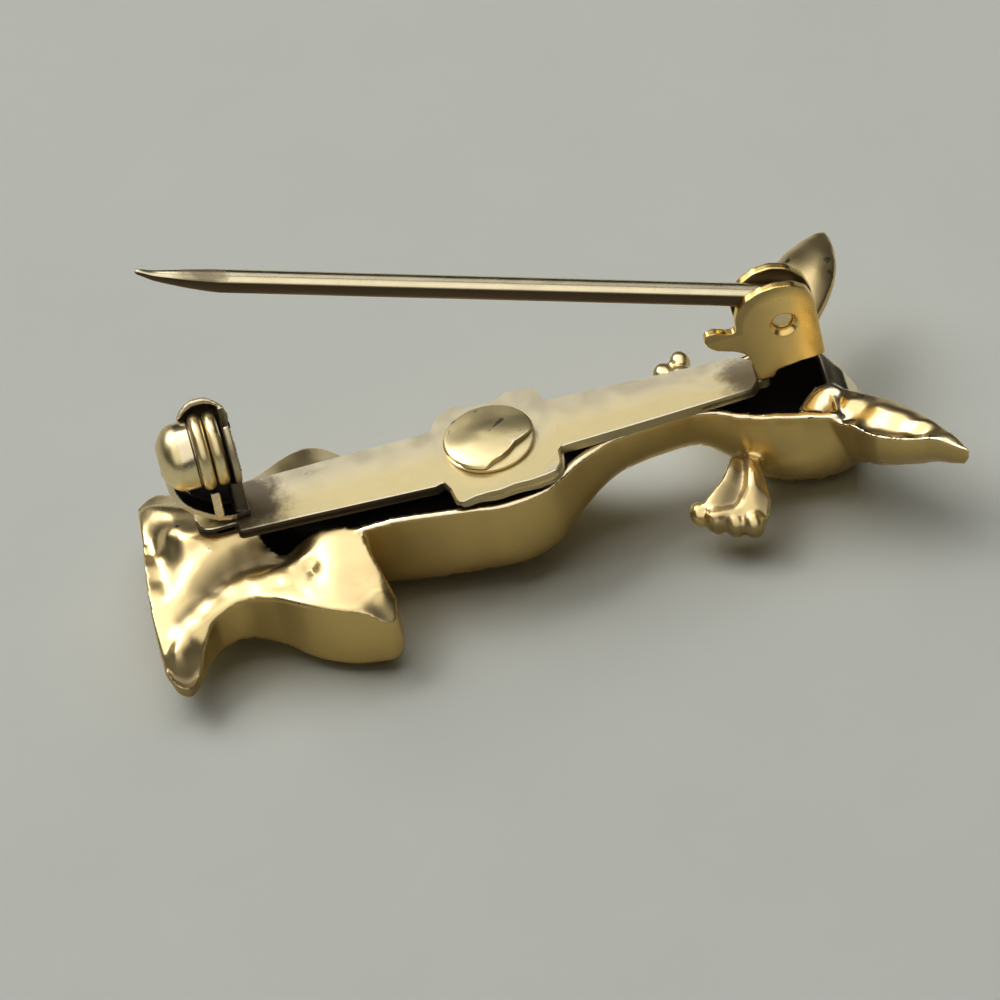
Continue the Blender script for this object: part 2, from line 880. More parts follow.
def node_box(name: str) -> tuple[Vector, Vector]:
    """Corners of one of the frame's nodes in millimetres.

    Args:
        name: The node.

    Returns:
        Its lowest and its highest corner.
    """
    low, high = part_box(name)
    return low / MM, high / MM


def joint_place(name: str) -> Vector:
    """Place of a joint in millimetres.

    Args:
        name: The joint.

    Returns:
        A point on its axis.
    """
    joint = next(joint for joint in frame["joints"] if joint["name"] == name)
    return Vector(joint["pos_m"]) / MM


class TrunkStation(NamedTuple):
    """A section of belly, neck and head, in shares of the figure's sizes.

    Attributes:
        x: Place along the body.
        middle: Middle across the body.
        half: Half its width.
        front: Height of the front surface.
        rim: Height of the back rim.
        squareness: Power of its outline: 2 is an ellipse, and more is squarer.
    """

    x: float
    middle: float
    half: float
    front: float
    rim: float
    squareness: float


class HindRow(NamedTuple):
    """A row across the hind legs, in shares of the figure's sizes.

    Attributes:
        x: Place along the body.
        near: Reach to the near side.
        far: Reach to the far side.
        under: Height of the front surface.
    """

    x: float
    near: float
    far: float
    under: float


class EarStation(NamedTuple):
    """A section of an ear, in shares of its width, at a share of its length.

    Attributes:
        along: Place along the ear.
        half: Half its width.
        front: Depth of its round front.
        dome: Swell of its back.
        lift: Height of its edges.
    """

    along: float
    half: float
    front: float
    dome: float
    lift: float


# Belly, neck and head from the rump to the crown.
TRUNK: tuple[TrunkStation, ...] = tuple(TrunkStation(*row) for row in (
    (-0.356, -0.060, 0.160, 0.55, 0.74, 2.6), (-0.330, -0.030, 0.260, 0.42, 0.74, 3.0),
    (-0.300, -0.015, 0.315, 0.28, 0.76, 3.2), (-0.262, -0.022, 0.325, 0.18, 0.80, 3.6),
    (-0.235, -0.028, 0.328, 0.14, 0.905, 4.0), (-0.210, -0.037, 0.344, 0.12, 0.945, 5.0),
    (-0.180, -0.046, 0.361, 0.11, 0.97, 6.0), (-0.130, -0.070, 0.385, 0.11, 0.97, 7.0),
    (-0.090, -0.048, 0.448, 0.12, 0.97, 7.0), (-0.062, -0.036, 0.496, 0.13, 0.97, 7.0),
    (-0.030, -0.022, 0.503, 0.13, 0.97, 7.0), (0.003, -0.020, 0.460, 0.18, 0.97, 6.0),
    (0.028, -0.005, 0.385, 0.27, 0.98, 5.0), (0.051, 0.000, 0.310, 0.33, 0.99, 4.0),
    (0.075, 0.000, 0.250, 0.40, 1.00, 3.2), (0.100, 0.000, 0.205, 0.45, 1.00, 2.8),
    (0.150, 0.000, 0.170, 0.48, 1.00, 2.6), (0.195, -0.010, 0.175, 0.48, 1.00, 2.6),
    (0.223, -0.040, 0.250, 0.34, 0.98, 2.5), (0.250, -0.070, 0.360, 0.16, 0.95, 2.5),
    (0.280, -0.090, 0.440, 0.04, 0.93, 2.5), (0.312, -0.110, 0.465, 0.00, 0.93, 2.5),
    (0.342, -0.150, 0.440, 0.01, 0.95, 2.5), (0.360, -0.190, 0.385, 0.03, 0.94, 2.4),
    (0.384, -0.230, 0.270, 0.12, 0.82, 2.3), (0.395, -0.240, 0.160, 0.30, 0.72, 2.3),
))

# The hind legs from the feet to the knees.
HIND: tuple[HindRow, ...] = tuple(HindRow(*row) for row in (
    (-0.500, 0.82, 0.72, 0.30), (-0.492, 0.94, 0.80, 0.24), (-0.478, 0.98, 0.84, 0.20),
    (-0.462, 0.88, 0.84, 0.18), (-0.445, 0.72, 0.78, 0.17), (-0.422, 0.59, 0.69, 0.17),
    (-0.390, 0.545, 0.60, 0.15), (-0.352, 0.64, 0.53, 0.10), (-0.320, 0.785, 0.55, 0.03),
    (-0.285, 0.90, 0.60, 0.00), (-0.250, 0.965, 0.67, 0.00), (-0.226, 0.99, 0.66, 0.02),
    (-0.214, 0.95, 0.58, 0.08), (-0.209, 0.84, 0.40, 0.16),
))

# The fold along the near hind leg.
GROOVE: tuple[Spot, ...] = (
    (-12.6, -1.85, 3.7), (-13.6, -1.8, 3.8), (-14.6, -1.95, 3.88), (-15.5, -2.3, 3.84), (-16.3, -2.8, 3.7),
    (-17.2, -3.4, 3.6), (-18.0, -3.95, 3.45),
)

# Lines that tarnish lies along, how far it reaches and how dark it is.
TARNISH: tuple[tuple[tuple[Spot, ...], float, float], ...] = (
    (((-12.4, -1.6, 4.2), (-13.2, -1.6, 4.35)), 0.6, 1.0),
    (((-18.6, -6.4, 2.2), (-18.4, -7.2, 1.0)), 1.3, 0.6),
    (((12.0, -2.0, 4.6), (12.7, -1.3, 4.95)), 0.75, 0.6),
    (GROOVE[:5], 0.95, 0.62),
    (GROOVE[3:], 0.35, 0.6),
    (((13.9, 2.6, 4.9), (13.85, 1.0, 4.9), (13.95, -0.9, 4.85)), 0.62, 0.85),
    (((8.95, -3.3, 3.4), (8.4, -4.2, 2.9), (7.9, -5.0, 2.4)), 0.75, 0.62),
    (((9.9, -4.4, 3.2), (9.6, -5.0, 3.2), (9.5, -5.9, 2.5)), 0.4, 0.6),
    (((6.9, -5.7, 1.9), (7.9, -6.1, 1.8), (8.9, -6.5, 1.7)), 0.5, 0.6),
)

# Places that the back of the hind legs passes through.
HIND_SPOTS: tuple[Spot, ...] = (
    *GROOVE,
    (-19.3, -6.0, 2.0), (-19.0, -6.9, 1.2), (-18.45, -7.2, 1.0), (-17.8, -6.45, 1.4), (-17.2, -5.3, 2.7),
    (-16.3, -4.35, 3.42), (-15.1, -4.0, 3.68), (-14.3, -4.3, 3.84), (-13.5, -4.75, 3.96), (-12.4, -5.7, 4.06),
    (-11.7, -6.2, 4.05), (-11.0, -6.6, 3.98), (-10.2, -6.9, 3.86), (-9.6, -7.05, 3.6), (-8.75, -7.2, 2.9),
    (-8.3, -6.9, 2.9), (-8.1, -6.1, 3.3),
    (-18.9, -5.0, 2.95), (-18.6, -5.8, 3.1), (-17.9, -5.1, 3.34), (-17.1, -4.6, 3.46), (-18.4, -4.7, 3.32),
    (-17.9, -4.35, 3.44), (-17.1, -3.85, 3.56), (-16.2, -3.35, 3.74), (-15.3, -2.98, 3.93), (-14.4, -2.88, 4.12),
    (-13.3, -3.05, 4.33), (-12.4, -3.1, 4.46), (-11.6, -3.1, 4.56), (-10.8, -3.2, 4.62), (-10.0, -3.3, 4.62),
    (-9.5, -3.5, 4.52), (-16.6, -4.0, 3.6), (-15.6, -3.6, 3.76), (-14.5, -3.6, 3.98), (-13.3, -4.0, 4.16),
    (-12.2, -4.6, 4.27), (-11.3, -5.2, 4.26), (-10.3, -5.6, 4.18), (-9.5, -5.5, 4.06), (-9.2, -6.4, 3.75),
    (-10.0, -4.4, 4.42), (-9.1, -4.4, 4.3), (-8.8, -5.2, 4.05), (-8.5, -6.0, 3.75), (-11.6, -3.75, 4.28),
    (-12.0, -3.8, 4.42), (-11.1, -3.9, 4.46),
    (-12.6, -1.2, 4.9), (-13.8, -1.2, 5.0), (-14.8, -1.3, 4.97), (-15.6, -1.62, 4.72), (-16.4, -2.15, 4.34),
    (-17.3, -2.85, 3.97), (-18.1, -3.45, 3.68), (-18.7, -4.1, 3.38),
    (-15.6, -1.05, 5.0), (-16.3, -1.35, 4.76), (-16.9, -1.85, 4.45), (-17.6, -2.5, 4.1), (-18.2, -3.05, 3.85),
    (-17.6, 0.5, 4.82), (-17.0, -0.3, 5.1), (-16.3, -0.55, 5.15), (-17.65, -0.25, 4.4), (-17.1, -0.95, 4.68),
    (-16.4, -1.0, 4.86), (-18.35, -1.4, 3.9), (-18.15, -0.5, 4.0), (-18.3, 0.5, 3.9), (-18.4, 1.3, 4.0),
    (-18.3, -2.2, 3.92), (-18.95, -0.3, 4.2), (-18.85, 0.9, 4.1), (-18.75, 2.2, 4.1), (-19.0, -2.0, 4.05),
    (-19.1, -3.4, 3.62), (-19.2, -4.8, 3.0), (-18.5, 2.9, 4.2), (-18.1, 3.4, 4.3), (-17.3, 3.1, 4.45),
    (-18.0, 2.3, 4.55), (-17.3, 1.9, 4.85), (-18.3, 4.5, 3.0), (-17.8, 5.6, 2.5), (-17.5, 4.3, 3.2),
    (-16.6, 1.0, 5.0), (-16.4, 0.2, 5.15), (-16.6, 4.6, 3.2),
    (-15.0, 0.0, 5.15), (-13.5, 0.0, 5.15), (-12.0, 0.0, 5.15), (-10.5, 0.0, 5.15), (-15.0, 1.5, 5.05),
    (-13.5, 1.5, 5.05), (-12.0, 1.5, 5.05), (-10.5, 1.5, 5.05), (-15.5, 2.6, 4.4), (-14.0, 2.7, 4.45),
    (-12.5, 2.8, 4.6), (-11.0, 2.8, 4.7), (-9.5, 2.8, 4.6), (-16.3, 4.3, 3.25), (-15.0, 4.0, 3.6),
    (-13.7, 4.0, 3.7), (-12.7, 4.2, 3.75), (-11.8, 4.5, 4.05), (-10.6, 4.7, 4.2), (-9.6, 4.8, 3.8),
    (-8.6, 4.2, 3.2), (-8.6, 3.0, 4.3), (-8.8, 1.5, 4.7), (-8.9, 0.0, 4.9), (-9.0, -1.5, 4.9), (-9.1, -2.7, 4.6),
)

# Left and right edge of the near foreleg from shoulder to paw, and its thickness.
NEAR_LEG: tuple[tuple[Spot, Spot, float], ...] = (
    ((8.8, -1.9, 2.7), (10.0, -2.2, 2.7), 1.4), ((8.6, -2.8, 3.3), (9.9, -3.3, 3.2), 1.4),
    ((8.3, -3.45, 3.4), (9.95, -4.4, 3.2), 1.4), ((7.8, -3.95, 3.15), (9.95, -5.35, 2.95), 1.3),
    ((7.1, -4.2, 2.75), (9.65, -5.9, 2.5), 1.3), ((6.5, -4.55, 2.4), (9.25, -6.1, 2.25), 1.0),
)

# Share of the way across the near foreleg and the height of its ridges there.
LEG_RELIEF: tuple[Point, ...] = (
    (0.0, -0.15), (0.08, 0.12), (0.2, 0.1), (0.42, -0.22), (0.6, 0.2), (0.72, 0.22), (0.85, -0.1), (1.0, -0.5),
)

# Middle and radii of each toe of the near paw.
NEAR_TOES: tuple[tuple[Spot, Spot], ...] = (
    ((6.55, -4.5, 1.95), (0.45, 0.6, 0.6)), ((7.25, -5.0, 1.85), (0.55, 0.8, 0.72)),
    ((8.05, -5.45, 1.8), (0.55, 0.85, 0.72)), ((8.85, -5.8, 1.75), (0.55, 0.8, 0.72)),
)

# Middle and radius of each joint of the far foreleg.
FAR_LEG: tuple[tuple[Spot, float], ...] = (
    ((9.2, 1.6, 3.0), 1.0), ((8.8, 3.1, 2.2), 0.85), ((8.1, 4.6, 1.6), 0.75), ((7.7, 5.4, 1.5), 0.7),
)

# Middle and radii of each toe of the far paw.
FAR_TOES: tuple[tuple[Spot, Spot], ...] = (((6.95, 6.05, 1.5), (0.5, 0.6, 0.5)), ((7.85, 6.45, 1.6), (0.5, 0.6, 0.52)))

# Near and far edge of the near ear from root to tip, and its depth.
NEAR_EAR: tuple[tuple[Point, Point, float], ...] = (
    ((12.2, -2.3), (13.3, -1.2), 3.4),
    ((12.6, -2.85), (14.0, -1.2), 3.7),
    ((13.4, -3.55), (14.7, -1.8), 3.6),
    ((14.36, -4.6), (15.4, -2.2), 3.3),
    ((15.2, -5.75), (16.2, -2.9), 2.9),
    ((16.2, -6.4), (16.93, -3.75), 2.55),
    ((17.3, -6.75), (17.7, -4.85), 2.2),
    ((18.3, -7.45), (18.4, -6.1), 1.8),
    ((18.9, -8.0), (18.95, -7.25), 1.3),
    ((19.18, -8.25), (19.22, -8.15), 0.5),
)

# Places that the back of the near ear passes through.
EAR_SPOTS: tuple[Spot, ...] = (
    (12.2, -2.3, 4.72), (12.6, -2.85, 4.84), (13.45, -3.6, 4.86), (14.36, -4.6, 4.96), (15.2, -5.75, 5.02),
    (16.2, -6.4, 5.04), (17.3, -6.75, 4.98), (18.3, -7.45, 4.95), (19.0, -8.1, 4.85),
    (13.0, -2.3, 4.86), (13.5, -1.8, 4.98), (13.2, -2.95, 4.7), (14.3, -3.9, 4.62), (15.2, -5.0, 4.72),
    (16.3, -5.75, 4.74), (17.3, -6.3, 4.76),
    (13.3, -2.2, 4.84), (14.0, -2.5, 4.7), (14.6, -2.9, 4.95), (15.2, -3.5, 4.76), (15.7, -3.8, 5.0),
    (16.4, -4.7, 5.05), (16.6, -5.3, 4.86), (17.4, -5.7, 5.02), (18.3, -7.0, 5.0),
    (13.3, -1.2, 4.8), (14.0, -1.2, 4.86), (14.7, -1.8, 4.7), (15.4, -2.25, 4.6), (16.2, -2.95, 4.62),
    (16.93, -3.8, 4.64), (17.7, -4.9, 4.68), (18.4, -6.15, 4.72), (18.95, -7.3, 4.75),
)

# The far ear from root to tip.
FAR_EAR: tuple[EarStation, ...] = tuple(EarStation(*row) for row in (
    (0.00, 0.36, 0.42, 0.06, 0.00), (0.18, 0.44, 0.42, 0.12, 0.00), (0.40, 0.50, 0.40, 0.18, 0.02),
    (0.58, 0.49, 0.36, 0.18, 0.03), (0.74, 0.40, 0.30, 0.14, 0.03), (0.88, 0.25, 0.22, 0.08, 0.01),
    (0.96, 0.13, 0.14, 0.04, -0.01), (1.00, 0.04, 0.05, 0.01, -0.02),
))


def between(rows: Sequence[NamedTuple], name: str, x: float) -> float:
    """A column of a table, smoothed between its rows by a cubic curve.

    Args:
        rows: The table, in order of its first column.
        name: The column.
        x: The place in the first column.

    Returns:
        The value there.
    """
    spot = 0
    while spot < len(rows) - 2 and x >= rows[spot + 1][0]:
        spot += 1
    share = (x - rows[spot][0]) / (rows[spot + 1][0] - rows[spot][0])
    a, b, c, d = (getattr(rows[min(max(k, 0), len(rows) - 1)], name) for k in range(spot - 1, spot + 3))
    return b + 0.5 * share * (c - a + share * (2 * a - 5 * b + 4 * c - d + share * (3 * (b - c) + d - a)))


def ease(share: float) -> float:
    """Smooth step of a share that is held between 0 and 1."""
    held = min(max(share, 0.0), 1.0)
    return held * held * (3 - 2 * held)


def mix(first: float, second: float, share: float) -> float:
    """Value at a share of the way from the first to the second."""
    return first + (second - first) * share


def signed_power(value: float, power: float) -> float:
    """A power that keeps the value's sign."""
    return math.copysign(abs(value) ** power, value)


def bent_plate(spots: Sequence[Spot]) -> Callable[[np.ndarray], np.ndarray]:
    """Heights of a thin plate that is bent through some spots.

    Args:
        spots: The spots, in millimetres.

    Returns:
        The plate's height at each row of X and Y.
    """
    known = np.array(spots)

    def spread(places_there: np.ndarray) -> np.ndarray:
        """How much each spot pulls at each place."""
        away = np.linalg.norm(places_there[:, None, :2] - known[None, :, :2], axis=2)
        return away ** 2 * np.log(away + 1e-9)

    count = len(known)
    flat = np.column_stack((np.ones(count), known[:, :2]))
    system = np.block([[spread(known), flat], [flat.T, np.zeros((3, 3))]])
    pull = np.linalg.solve(system, np.concatenate((known[:, 2], np.zeros(3))))
    return lambda where: spread(where) @ pull[:count] + pull[count] + where[:, :2] @ pull[count + 1:]


@dataclass
class Figure:
    """The cast animal.

    Attributes:
        length: Length over the hind feet and the near ear.
        back: Height of the back rim above the surface.
        belly: Width that the belly's shares follow.
        head: Width that the head's shares follow.
        hind: Width that the hind legs' shares follow.
        wall: Thickness of the wall at its rim.
        voxel: Grain of the fused casting.
        smoothing: Rounds that smooth the fused casting.
        most_faces: Triangles that the casting keeps.
        far_ear: Length, width and direction in degrees of the far ear.
        post: Width of the post that takes the rivet.
        brow: How far the near rim is tucked in at shares of the length.
        web_set_back: How far the web's edge is set back between the feet, as a share of the length.
        knee_set_back: How far the legs' root is set back between the knees, as a share of the length.
        rubbing: How bright the rims are rubbed.
    """

    length: float = 38.6
    back: float = 5.2
    belly: float = 7.3
    head: float = 6.8
    hind: float = 14.6
    wall: float = 0.42
    voxel: float = 0.1
    smoothing: int = 6
    most_faces: int = 190_000
    far_ear: tuple[float, float, float] = (7.75, 3.35, 60.3)
    post: float = 3.8
    brow: tuple[Point, ...] = ((0.18, 0.0), (0.2, 0.05), (0.228, 0.5), (0.259, 0.95), (0.288, 1.15), (0.318, 0.9),
                               (0.35, 0.35), (0.375, 0.0), (0.4, 0.0))
    web_set_back: float = 0.022
    knee_set_back: float = 0.026
    rubbing: float = 0.9

    def girth(self, x: float) -> float:
        """Width that the shares of a section follow."""
        return mix(self.belly, self.head, ease((x - 0.15) / 0.08))

    def trunk_spot(self, x: float, around: float, inset: float, lift: float) -> Spot:
        """Place on the trunk's section.

        Args:
            x: Share of the length.
            around: Share of the way round, from the near rim under the belly to the far rim and back.
            inset: How far inside the outer surface.
            lift: How far above the rim the section is closed.

        Returns:
            The place in millimetres.
        """
        width = self.girth(x)
        middle = between(TRUNK, "middle", x) * width
        half = max(between(TRUNK, "half", x) * width - inset, 0.02)
        rim = between(TRUNK, "rim", x) * self.back
        depth = max(rim - between(TRUNK, "front", x) * self.back - inset, 0.02)
        power = 2 / between(TRUNK, "squareness", x)
        bowl = 0.8
        if around <= bowl:
            angle = math.pi * (1 + around / bowl)
            across = signed_power(math.cos(angle), power)
            high = rim + depth * signed_power(math.sin(angle), power)
        else:
            across = 1 - 2 * (around - bowl) / (1 - bowl)
            high = rim + lift * (1 - abs(across) ** 8)
        tuck = float(np.interp(x, *zip(*self.brow))) * ease((high / rim - 0.3) / 0.7)
        return (x * self.length, middle + half * across + tuck * ease(-across * 1.2), high)

    def trunk(self) -> bpy.types.Object:
        """Belly, neck and head, filled to the rim."""
        first, last = TRUNK[0].x, TRUNK[-1].x
        return formed("trunk", 130, 64, lambda s, t: self.trunk_spot(mix(first, last, s), t, 0, 0))

    def wall_at(self, x: float) -> float:
        """Wall measured across the body, which is more where the body narrows fast."""
        return self.wall + 0.17 * math.exp(-((x - 0.035) / 0.05) ** 2)

    def trunk_hollow(self) -> bpy.types.Object:
        """What the belly, neck and head are hollowed out by.

        Returns:
            The closed mesh, which reaches past the rim.
        """
        first, last, past = TRUNK[0].x + self.wall / self.length, TRUNK[-3].x, 1.5

        def form(along: float, around: float) -> Spot:
            """Place on the hollow's skin."""
            x = mix(first, last, along)
            return self.trunk_spot(x, around, self.wall_at(x), past)

        return formed("trunk_hollow", 110, 56, form)

    def hind_x(self, x: float, u: float) -> float:
        """Place along the body of a point of a row, with the web's edge and the knee's root set back.

        Args:
            x: The row's share of the length.
            u: Share of the way across, from -1 on the near side to 1.

        Returns:
            The point's share of the length.
        """
        web = self.web_set_back * ease((u + 0.9) / 1.8) * (1 - ease((x + 0.5) / 0.09))
        knee = self.knee_set_back * (1 - abs(u) ** 1.6) * ease((x + 0.31) / 0.10)
        return x + web - knee

    def hind_y(self, x: float, u: float) -> float:
        """Place across the body of a point of a row."""
        return u * between(HIND, "near" if u < 0 else "far", x) * self.hind / 2

    def hind_front(self, x: float, u: float) -> float:
        """Height of the hind legs' front surface."""
        rise = 0.10 * abs(u) ** 8 + 0.10 * (1 - ease(abs(u) / 0.7))
        return (between(HIND, "under", x) + rise) * self.back

    def hind_legs(self) -> bpy.types.Object:
        """Both bent hind legs and the web between the feet, formed from a thick grid.

        Returns:
            The closed mesh.
        """
        levels, thinnest = 5, 0.6
        deselect_all()
        bpy.ops.mesh.primitive_grid_add(x_subdivisions=110, y_subdivisions=110, size=2)
        piece = bpy.context.object
        piece.name = "hind_legs"
        edit(piece, "FACE")
        bpy.ops.mesh.select_all(action="SELECT")
        for _ in range(levels):
            bpy.ops.mesh.extrude_region_move(TRANSFORM_OT_translate={"value": (0, 0, 1 / levels)})
        close_edit()
        first, last = HIND[0].x, HIND[-1].x
        spots = places(piece)
        rows = [(mix(first, last, (spot[0] + 1) / 2), spot[1]) for spot in spots]
        level, low = spots[:, 2].copy(), np.array([self.hind_front(x, u) for x, u in rows])
        spots[:, 0] = [self.hind_x(x, u) * self.length for x, u in rows]
        spots[:, 1] = [self.hind_y(x, u) for x, u in rows]
        high = np.clip(bent_plate(HIND_SPOTS)(spots), low + thinnest, self.back)
        spots[:, 2] = low + (high - low) * level
        put(piece, spots)
        weld(piece)
        return piece

    def ear(self, name: str, stations: Sequence[EarStation], sizes: tuple[float, float, float],
            root: Spot) -> bpy.types.Object:
        """A leaf-shaped ear: its front is round, and its back dips or swells.

        Args:
            name: Name of the object.
            stations: Its sections.
            sizes: Its length, its width and its direction in degrees.
            root: Place of its root.

        Returns:
            The closed mesh.
        """
        length, width, direction = sizes

        def form(along: float, around: float) -> Spot:
            """Place on the ear's skin.

            Args:
                along: Share of the ear's length.
                around: Share of the way round: its front and then its back.

            Returns:
                The place before the ear is turned.
            """
            half = max(between(stations, "half", along) * width, 0.01)
            front = max(between(stations, "front", along) * width, 0.01)
            dome = between(stations, "dome", along) * width
            lift = between(stations, "lift", along) * width
            if around <= 0.5:
                angle = math.pi * (1 + 2 * around)
                return (along * length, half * math.cos(angle), lift + front * math.sin(angle))
            across = 1 - 4 * (around - 0.5)
            return (along * length, half * across, lift + dome * (1 - across * across))

        piece = formed(name, 48, 40, form)
        turn(piece, math.radians(direction), "Z")
        piece.data.transform(Matrix.Translation(root))
        return piece

    def near_ear(self) -> bpy.types.Object:
        """The near ear, with a hammered back between its two edges.

        Returns:
            The closed mesh.
        """
        height = bent_plate(EAR_SPOTS)
        steps = np.arange(len(NEAR_EAR)) / (len(NEAR_EAR) - 1)
        edges = np.array([(*near, *far, depth) for near, far, depth in NEAR_EAR])

        def form(along: float, around: float) -> Spot:
            """Place on the ear's skin.

            Args:
                along: Share of the ear's length.
                around: Share of the way round: its front and then its back.

            Returns:
                The place.
            """
            near_x, near_y, far_x, far_y, depth = (float(np.interp(along, steps, column)) for column in edges.T)
            angle = math.pi * (1 + 2 * around)
            across = 0.5 + 0.5 * math.cos(angle) if around <= 0.5 else 2 - 2 * around
            x, y = mix(near_x, far_x, across), mix(near_y, far_y, across)
            if around > 0.5:
                return (x, y, float(height(np.array(((x, y),)))[0]))
            ends = height(np.array(((near_x, near_y), (far_x, far_y))))
            return (x, y, max(mix(ends[0], ends[1], across) + depth * math.sin(angle), 0.05))

        return formed("near_ear", 64, 60, form)

    def ears(self) -> list[bpy.types.Object]:
        """Both ears at their roots."""
        root = (0.312 * self.length, 0.34 * self.head, 0.955 * self.back)
        return [self.near_ear(), self.ear("far_ear", FAR_EAR, self.far_ear, root)]

    def near_foreleg(self) -> list[bpy.types.Object]:
        """The near foreleg, a flared strip with two ridges, and its four toes.

        Returns:
            The closed meshes that it is fused from.
        """
        def form(along: float, around: float) -> Spot:
            """Place on the leg's skin.

            Args:
                along: Share of the leg's length.
                around: Share of the way round: its back and then its front.

            Returns:
                The place.
            """
            place = along * (len(NEAR_LEG) - 1)
            step = min(int(place), len(NEAR_LEG) - 2)
            share = place - step
            (left, right, thick), (next_left, next_right, next_thick) = NEAR_LEG[step:step + 2]
            across = 2 * around if around <= 0.5 else 2 - 2 * around
            edge = 1 - abs(2 * across - 1) ** 4
            spot = Vector(left).lerp(Vector(next_left), share)
            spot = spot.lerp(Vector(right).lerp(Vector(next_right), share), across)
            if around <= 0.5:
                spot.z += float(np.interp(across, *zip(*LEG_RELIEF))) * ease(along * 3)
            else:
                spot.z -= mix(0.45, 1.0, edge) * mix(thick, next_thick, share)
            return tuple(spot)

        pieces = [formed("near_foreleg", 40, 60, form)]
        pieces += [ball("toe", place, radii, 18) for place, radii in NEAR_TOES]
        bar = rod("toe_bar", 0.34, ((6.9, -5.15, 2.35), (9.0, -5.45, 2.3)), 24)
        modify(bar, "BEVEL", width=0.2, segments=4, limit_method="ANGLE")
        spots = places(bar)
        spots[:, 2] = np.minimum(spots[:, 2], 2.55 - 0.25 * (spots[:, 1] + 5.3))
        put(bar, spots)
        pieces.append(bar)
        return pieces

    def far_foreleg(self) -> list[bpy.types.Object]:
        """The far foreleg, which lies low behind the bar, and its toes.

        Returns:
            The closed meshes that it is fused from.
        """
        pieces = [ball("joint", spot, (radius, radius, radius)) for spot, radius in FAR_LEG]
        for (start, first), (end, last) in zip(FAR_LEG, FAR_LEG[1:]):
            pieces.append(rod("leg", (first + last) / 2, (start, end), 32))
        pieces += [ball("toe", place, radii, 18) for place, radii in FAR_TOES]
        return pieces

    def face(self) -> list[bpy.types.Object]:
        """A plain face of no named kind on the hidden front of the head.

        Returns:
            The closed meshes that are fused on the head.
        """
        x, y = 0.300 * self.length, -0.09 * self.head
        muzzle = 0.19 * self.head
        pieces = [ball("muzzle", (x - 0.01 * self.length, y, 0.14 * self.back),
                       (1.25 * muzzle, muzzle, 0.7 * muzzle))]
        eye = 0.072 * self.head
        for side in (-1, 1):
            pieces.append(ball("eye", (x + 0.026 * self.length, y + side * 0.24 * self.head,
                                       0.13 * self.back), (eye, eye, eye), 16))
        return pieces

    def casting(self) -> bpy.types.Object:
        """Fuse and hollow the casting.

        Returns:
            The closed mesh, smoothed.
        """
        body = self.trunk()
        for part in (self.hind_legs(), *self.face()):
            cut(body, part, "UNION", "MANIFOLD")
        cut(body, self.trunk_hollow(), "DIFFERENCE", "MANIFOLD")
        low, high = node_box("centre_rivet")
        x = (low.x + high.x) / 2
        floor = between(TRUNK, "front", x / self.length) * self.back + 0.4
        post = rod("post", self.post / 2, ((x, 0, floor), (x, 0, self.back)))
        body = fuse([body, post, *self.ears(), *self.near_foreleg(), *self.far_foreleg()])
        modify(body, "REMESH", mode="VOXEL", voxel_size=self.voxel)
        modify(body, "SMOOTH", factor=0.5, iterations=self.smoothing)
        return body

    def tarnish(self, body: bpy.types.Object) -> None:
        """Paint the tarnish inside the hollow and along the folds, and the rubbing on the rims.

        Args:
            body: The casting.
        """
        spots, facing = places(body), normals(body)
        amount = np.zeros(len(spots))
        edge = np.array([near for near, _, _ in NEAR_EAR[1:-1]])
        edge = np.column_stack((edge, bent_plate(EAR_SPOTS)(edge)))
        rubbed = np.clip(1.6 - reach_of(spots, edge) / 0.2, 0, self.rubbing) * (facing[:, 2] > 0.4)
        first, last = TRUNK[0].x, TRUNK[-1].x
        for index, (x, y, z) in enumerate(spots / (self.length, 1, 1)):
            if not first < x < last:
                continue
            rim = between(TRUNK, "rim", x) * self.back
            if x > -0.23 and abs(z - rim) < 0.25 and facing[index, 2] > 0.5:
                rubbed[index] = self.rubbing
            if z > rim:
                continue
            width = self.girth(x)
            half = max(between(TRUNK, "half", x) * width - 0.5 * self.wall, 0.05)
            depth = max(rim - between(TRUNK, "front", x) * self.back - 0.5 * self.wall, 0.05)
            across = (y - between(TRUNK, "middle", x) * width) / half
            if across < 0:
                across -= float(np.interp(x, *zip(*self.brow))) * ease((z / rim - 0.3) / 0.7) / half
            power = between(TRUNK, "squareness", x)
            if facing[index, 1] * math.copysign(1, across) > 0.3:
                continue
            if abs(across) ** power + (abs(rim - z) / depth) ** power < 1:
                amount[index] = ease((rim - 0.12 - z) / 0.4)
        for line, reach, stain in TARNISH:
            amount = np.maximum(amount, stain * np.clip(1.25 - reach_of(spots, line) / reach, 0, 1))
        paint(body, amount)
        paint(body, rubbed, "rubbed")

    def build(self, shop: Workshop) -> None:
        """Make the casting and hand it over.

        Args:
            shop: The workshop that dresses it.
        """
        body = self.casting()
        triangles = sum(len(face.vertices) - 2 for face in body.data.polygons)
        modify(body, "DECIMATE", ratio=min(1.0, self.most_faces / triangles))
        spots = places(body)
        put(body, np.column_stack((spots[:, 0], spots[:, 1], np.maximum(spots[:, 2], 0.0))))
        self.tarnish(body)
        shop.hand_over(body, "figure_casting", Body.ROOT, "cast_gold", ("figure",), sharp=180.0)


